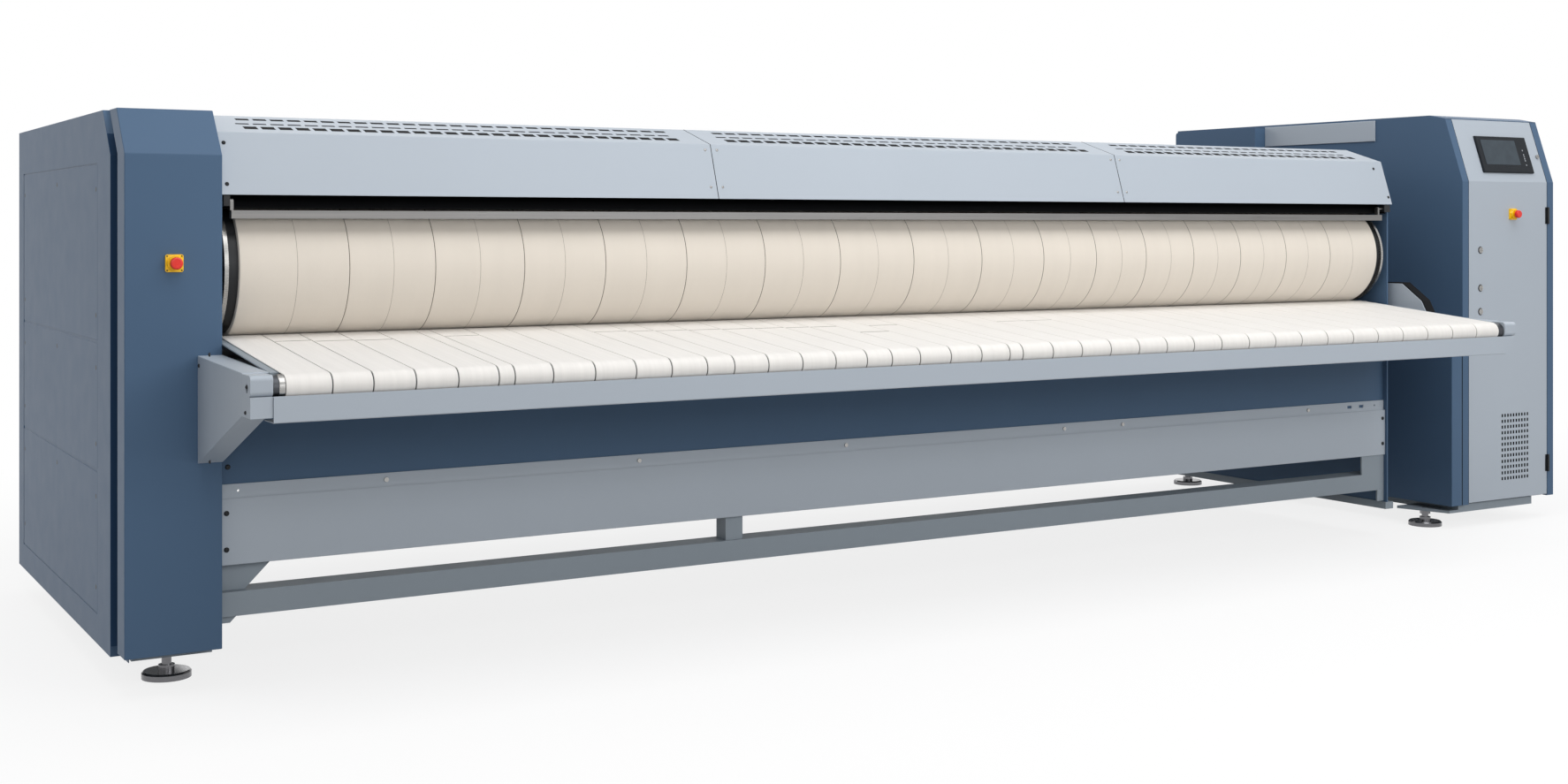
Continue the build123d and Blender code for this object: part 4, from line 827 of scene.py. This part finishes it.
def display_glass():
    """Glass of the display with a bevelled upper and lower edge."""
    bevel = 1.0
    sunk, rim, top = TOUCH_PANEL_FACE - 1.0, TOUCH_PANEL_FACE + 0.2, TOUCH_PANEL_FACE + 0.5
    outline = ((DISPLAY_BOTTOM, sunk), (DISPLAY_BOTTOM, rim), (DISPLAY_BOTTOM + bevel, top),
               (DISPLAY_TOP - bevel, top), (DISPLAY_TOP, rim), (DISPLAY_TOP, sunk))
    section = [tuple(on_door_slope(along, out)) for along, out in outline]
    work = bmesh.new()
    swept(work, section, DISPLAY_LEFT, DISPLAY_RIGHT)
    wear(finished("display_glass", work), "door", "black_plastic", materials["screen_glass"])


def latch_rims():
    """Rim round each of the door's latches."""
    inner, outer, height, bevel = 11.2, 14.0, 1.2, 1.4
    ring = [(0.0, inner), (height, inner), (height, outer - bevel), (0.0, outer)]
    work = bmesh.new()
    for z in LATCH_HEIGHTS:
        turned(work, in_metres(ring + ring[:1]), place(LATCH_X, 0, z), FORWARD, 32)
    wear(finished("latch_rims", work), "door", "dark_steel")


def stop_plate_screws():
    """Four small screws in each emergency stop's plate."""
    sides = (-STOP_SCREW_REACH, STOP_SCREW_REACH)
    for side, body, x, z in STOP_PLATES:
        work = bmesh.new()
        for across in sides:
            for up in sides:
                spot = place(x + across, STOP_PLATE_FACE, z + up)
                screw_head(work, spot, FORWARD, radius=1.9, height=0.9)
        wear(finished("stop_plate_screws_" + side, work), body, "dark_steel")


def y_on_slope(line, z):
    """The y of a sloping (y, z) line at a height."""
    (y0, z0), (y1, z1) = line
    return y0 + (z - z0) * (y1 - y0) / (z1 - z0)


def screw_head(work, where, outward, radius, height):
    """Add a domed screw head with a round socket."""
    socket = radius * 0.45
    line = [(-0.3, radius), (height * 0.35, radius), (height * 0.8, radius * 0.8),
            (height, radius * 0.55), (height, socket), (height * 0.35, socket * 0.95),
            (height * 0.35, 0.0)]
    turned(work, in_metres(line), where, outward, 24)


def hood_fasteners():
    """Screws beside the hood's seams and at its ends, and the dark line in each seam, painted
    shade of the seam's gap.
    """
    face = HOOD_LINE[:2]
    outward = way_out(face)
    bright, black, dark = bmesh.new(), bmesh.new(), bmesh.new()
    for z in HOOD_SEAM_SCREWS:
        for seam in HOOD_SEAMS:
            for x in (seam - HOOD_SEAM_SCREW_REACH, seam + HOOD_SEAM_SCREW_REACH):
                spot = place(x, y_on_slope(face, z), z)
                screw_head(bright, spot, outward, radius=4.0, height=2.2)
    for x, z in HOOD_END_SCREWS:
        spot = place(x, y_on_slope(face, z), z)
        screw_head(black, spot, outward, radius=5.0, height=2.6)
    half_width = 0.9
    for seam in HOOD_SEAMS:
        strip(dark, HOOD_LINE[:3], -0.5, 0.25, seam - half_width, seam + half_width)
    wear(finished("hood_seam_screws", bright), "frame", "stainless")
    wear(finished("hood_end_screws", black), "frame", "dark_steel")
    wear(finished("hood_seam_lines", dark), "frame", "dark_steel", painted_shade_black)


def frame_screws():
    """Dark socket screws of the table brackets and the cross panel."""
    work = bmesh.new()
    for x, y, z, outward, radius in FRAME_SCREWS:
        screw_head(work, place(x, y, z), Vector(outward), radius, height=3.2)
    wear(finished("frame_screws", work), "frame", "dark_steel")


def panel_windows():
    """Front, back and (low, high) heights of the side panels in the CAD, in metres."""
    spots = [vert.co for vert in frame["nodes"]["left_side_panels"].data.vertices]
    front, back = min(v.y for v in spots), max(v.y for v in spots)
    levels = sorted({round(v.z, 5) for v in spots if v.y < front + 1e-4})
    return front, back, list(zip(levels[::2], levels[1::2]))


def window_ring(work, window, grow, x):
    """Four corners of a panel's outline grown by a length, all at one x, in metres."""
    front, back, low, high = window
    corners = ((front - grow, low - grow), (back + grow, low - grow),
               (back + grow, high + grow), (front - grow, high + grow))
    return [work.verts.new((x, y, z)) for y, z in corners]


def band(work, one, other):
    """Faces between two rings of four corners."""
    for i in range(4):
        k = (i + 1) % 4
        work.faces.new((one[i], one[k], other[k], other[i]))


def side_panels():
    """Side panels with rolled edges, a little inside their windows."""
    front, back, heights = panel_windows()
    outer, inner = (place(x, 0, 0).x for x in PANEL_SIDES)
    work = bmesh.new()
    for low, high in heights:
        window = (front, back, low, high)
        face, hidden = (window_ring(work, window, -PANEL_INSET, x) for x in (outer, inner))
        work.faces.new(face)
        work.faces.new(hidden[::-1])
        band(work, face, hidden)
    rim = [edge for edge in work.edges
           if all(abs(vert.co.x - outer) < 1e-6 for vert in edge.verts)]
    bmesh.ops.bevel(work, geom=rim, offset=PANEL_ROLLED_EDGE, segments=3, profile=0.5,
                    affect="EDGES")
    adopt(finished("side_panels_rolled", work), "left_side_panels")


def window_gap_shades():
    """Black strip behind the gap round each side panel, painted shade that darkens the gap."""
    front, back, heights = panel_windows()
    outer, inner = (place(x, 0, 0).x for x in GAP_SHADE_SIDES)
    section = ((-GAP_SHADE_INNER_LAP, outer), (-GAP_SHADE_INNER_LAP, inner), (GAP_SHADE_OUTER_LAP, inner),
               (GAP_SHADE_OUTER_LAP, outer))
    work = bmesh.new()
    for low, high in heights:
        rings = [window_ring(work, (front, back, low, high), grow, x) for grow, x in section]
        for one, other in zip(rings, rings[1:] + rings[:1]):
            band(work, one, other)
    wear(finished("side_panel_gap_shades", work), "frame", "black_plastic", painted_shade_black)


# ---- stage, light and camera
FILL_STRENGTH = 0.4
# floor: its tone for other surfaces and for the camera, and the share of plain white light in
# what the camera sees of it at two distances from the middle, in metres, with x shortened
# because the machine is long
FLOOR_BOUNCE = (0.45, 0.45, 0.45, 1)
FLOOR_SEEN = (0.95, 0.95, 0.95, 1)
FLOOR_HALF_WIDTH = 60.0
FLOOR_STRETCH = (0.72, 1.0, 1.0)
FLOOR_DISTANCES = (1.8, 4.2)
FLOOR_WHITE_SHARES = (0.81, 1.0)


def seen_rays(tree):
    """1 for camera, mirror and glass rays, and 0 for the rest."""
    rays = add(tree, "ShaderNodeLightPath")
    return math(tree, "MAXIMUM", rays.outputs["Is Camera Ray"],
                math(tree, "MAXIMUM", rays.outputs["Is Glossy Ray"],
                     rays.outputs["Is Transmission Ray"]))


def white_seen(tree, shader, share):
    """Let camera, mirror and glass rays see a surface partly as plain white light."""
    seen = seen_rays(tree)
    glow = add(tree, "ShaderNodeEmission")
    glow.inputs["Color"].default_value = (1, 1, 1, 1)
    glow.inputs["Strength"].default_value = 1.0
    mix = add(tree, "ShaderNodeMixShader")
    tree.links.new(math(tree, "MULTIPLY", seen, share), mix.inputs["Fac"])
    tree.links.new(shader.outputs[0], mix.inputs[1])
    tree.links.new(glow.outputs[0], mix.inputs[2])
    tree.links.new(mix.outputs[0], tree.nodes["Material Output"].inputs["Surface"])


def floor():
    """Wide pale studio floor that keeps the machine's shadow."""
    mesh = bpy.data.meshes.new("studio_floor")
    half = FLOOR_HALF_WIDTH
    mesh.from_pydata([(-half, -half, 0), (half, -half, 0), (half, half, 0), (-half, half, 0)],
                     [], [(0, 1, 2, 3)])
    piece = link("studio_floor", mesh)
    material, tree, shader = new_material("studio_floor")
    rays = add(tree, "ShaderNodeLightPath")
    tone = two_tone(tree, rays.outputs["Is Camera Ray"], FLOOR_BOUNCE, FLOOR_SEEN)
    tree.links.new(tone, shader.inputs["Base Color"])
    shader.inputs["Roughness"].default_value = 0.9
    shader.inputs["Specular IOR Level"].default_value = 0.1
    away = add(tree, "ShaderNodeVectorMath", operation="LENGTH")
    tree.links.new(object_place(tree, FLOOR_STRETCH), away.inputs[0])
    share = spread(tree, away.outputs["Value"], *FLOOR_DISTANCES, *FLOOR_WHITE_SHARES)
    white_seen(tree, shader, share)
    mesh.materials.append(material)


def studio_world():
    """White surroundings for what the camera and mirrors see, and a plain fill for the rest."""
    world = bpy.data.worlds.new("studio")
    bpy.context.scene.world = world
    world.use_nodes = True
    tree = world.node_tree
    back = tree.nodes["Background"]
    back.inputs["Color"].default_value = (1, 1, 1, 1)
    strength = spread(tree, seen_rays(tree), 0.0, 1.0, FILL_STRENGTH, 1.0)
    tree.links.new(strength, back.inputs["Strength"])


# name, place, aim, width, height, power in watts
LAMPS = (
    ("overhead", (0.0, -2.0, 4.4), (0.0, -0.1, 0.9), 7.0, 3.0, 141.0),
    ("front_right", (2.2, -6.8, 2.8), (0.9, 0.0, 0.9), 4.5, 2.4, 118.0),
    ("front_left", (-3.4, -6.8, 2.9), (-0.8, 0.0, 0.9), 3.0, 2.4, 62.0),
    ("left", (-6.8, 1.0, 3.6), (-2.5, 0.3, 1.3), 3.0, 2.2, 27.0),
    ("back", (-1.0, 7.0, 3.6), (0.0, 0.9, 0.9), 6.0, 2.4, 110.0),
    ("right", (7.2, 0.5, 3.2), (2.6, 0.2, 1.0), 2.6, 2.4, 45.0),
)


def lamps():
    """Large soft lamps."""
    for name, where, aim, width, height, power in LAMPS:
        light = bpy.data.lights.new(name, "AREA")
        light.shape = "RECTANGLE"
        light.size = width
        light.size_y = height
        light.energy = power
        lamp = bpy.data.objects.new(name, light)
        lamp.location = where
        lamp.rotation_euler = (Vector(aim) - Vector(where)).to_track_quat("-Z", "Y").to_euler()
        bpy.context.scene.collection.objects.link(lamp)


def camera():
    """Level view from the front left, at about chest height."""
    lens = bpy.data.cameras.new("photo_view")
    lens.sensor_width = 36.0
    lens.lens = 41.57
    lens.shift_y = -0.1067
    lens.clip_end = 200.0
    view = bpy.data.objects.new("photo_view", lens)
    view.location = (-3.516, -5.0065, 1.128)
    view.rotation_euler = (radians(90), 0, radians(-31.13))
    bpy.context.scene.collection.objects.link(view)
    bpy.context.scene.camera = view


carry_over()
for part_name in SHEET_PARTS:
    dress(part_name)
for part_name in FINE_PARTS:
    dress(part_name, radius=0.0009, segments=2)
side_panels()
window_gap_shades()
roll_cover()
feed_belts()
belt_joints()
roller_collar()
groove_shade_lining()
top_strip()
vent_shade_screens()
door_vent_shade_screen()
cabinet_gaps()
display_keys()
display_glass()
latch_rims()
stop_plate_screws()
hood_fasteners()
frame_screws()
floor()
studio_world()
lamps()
camera()
bpy.context.scene.view_settings.view_transform = "Standard"
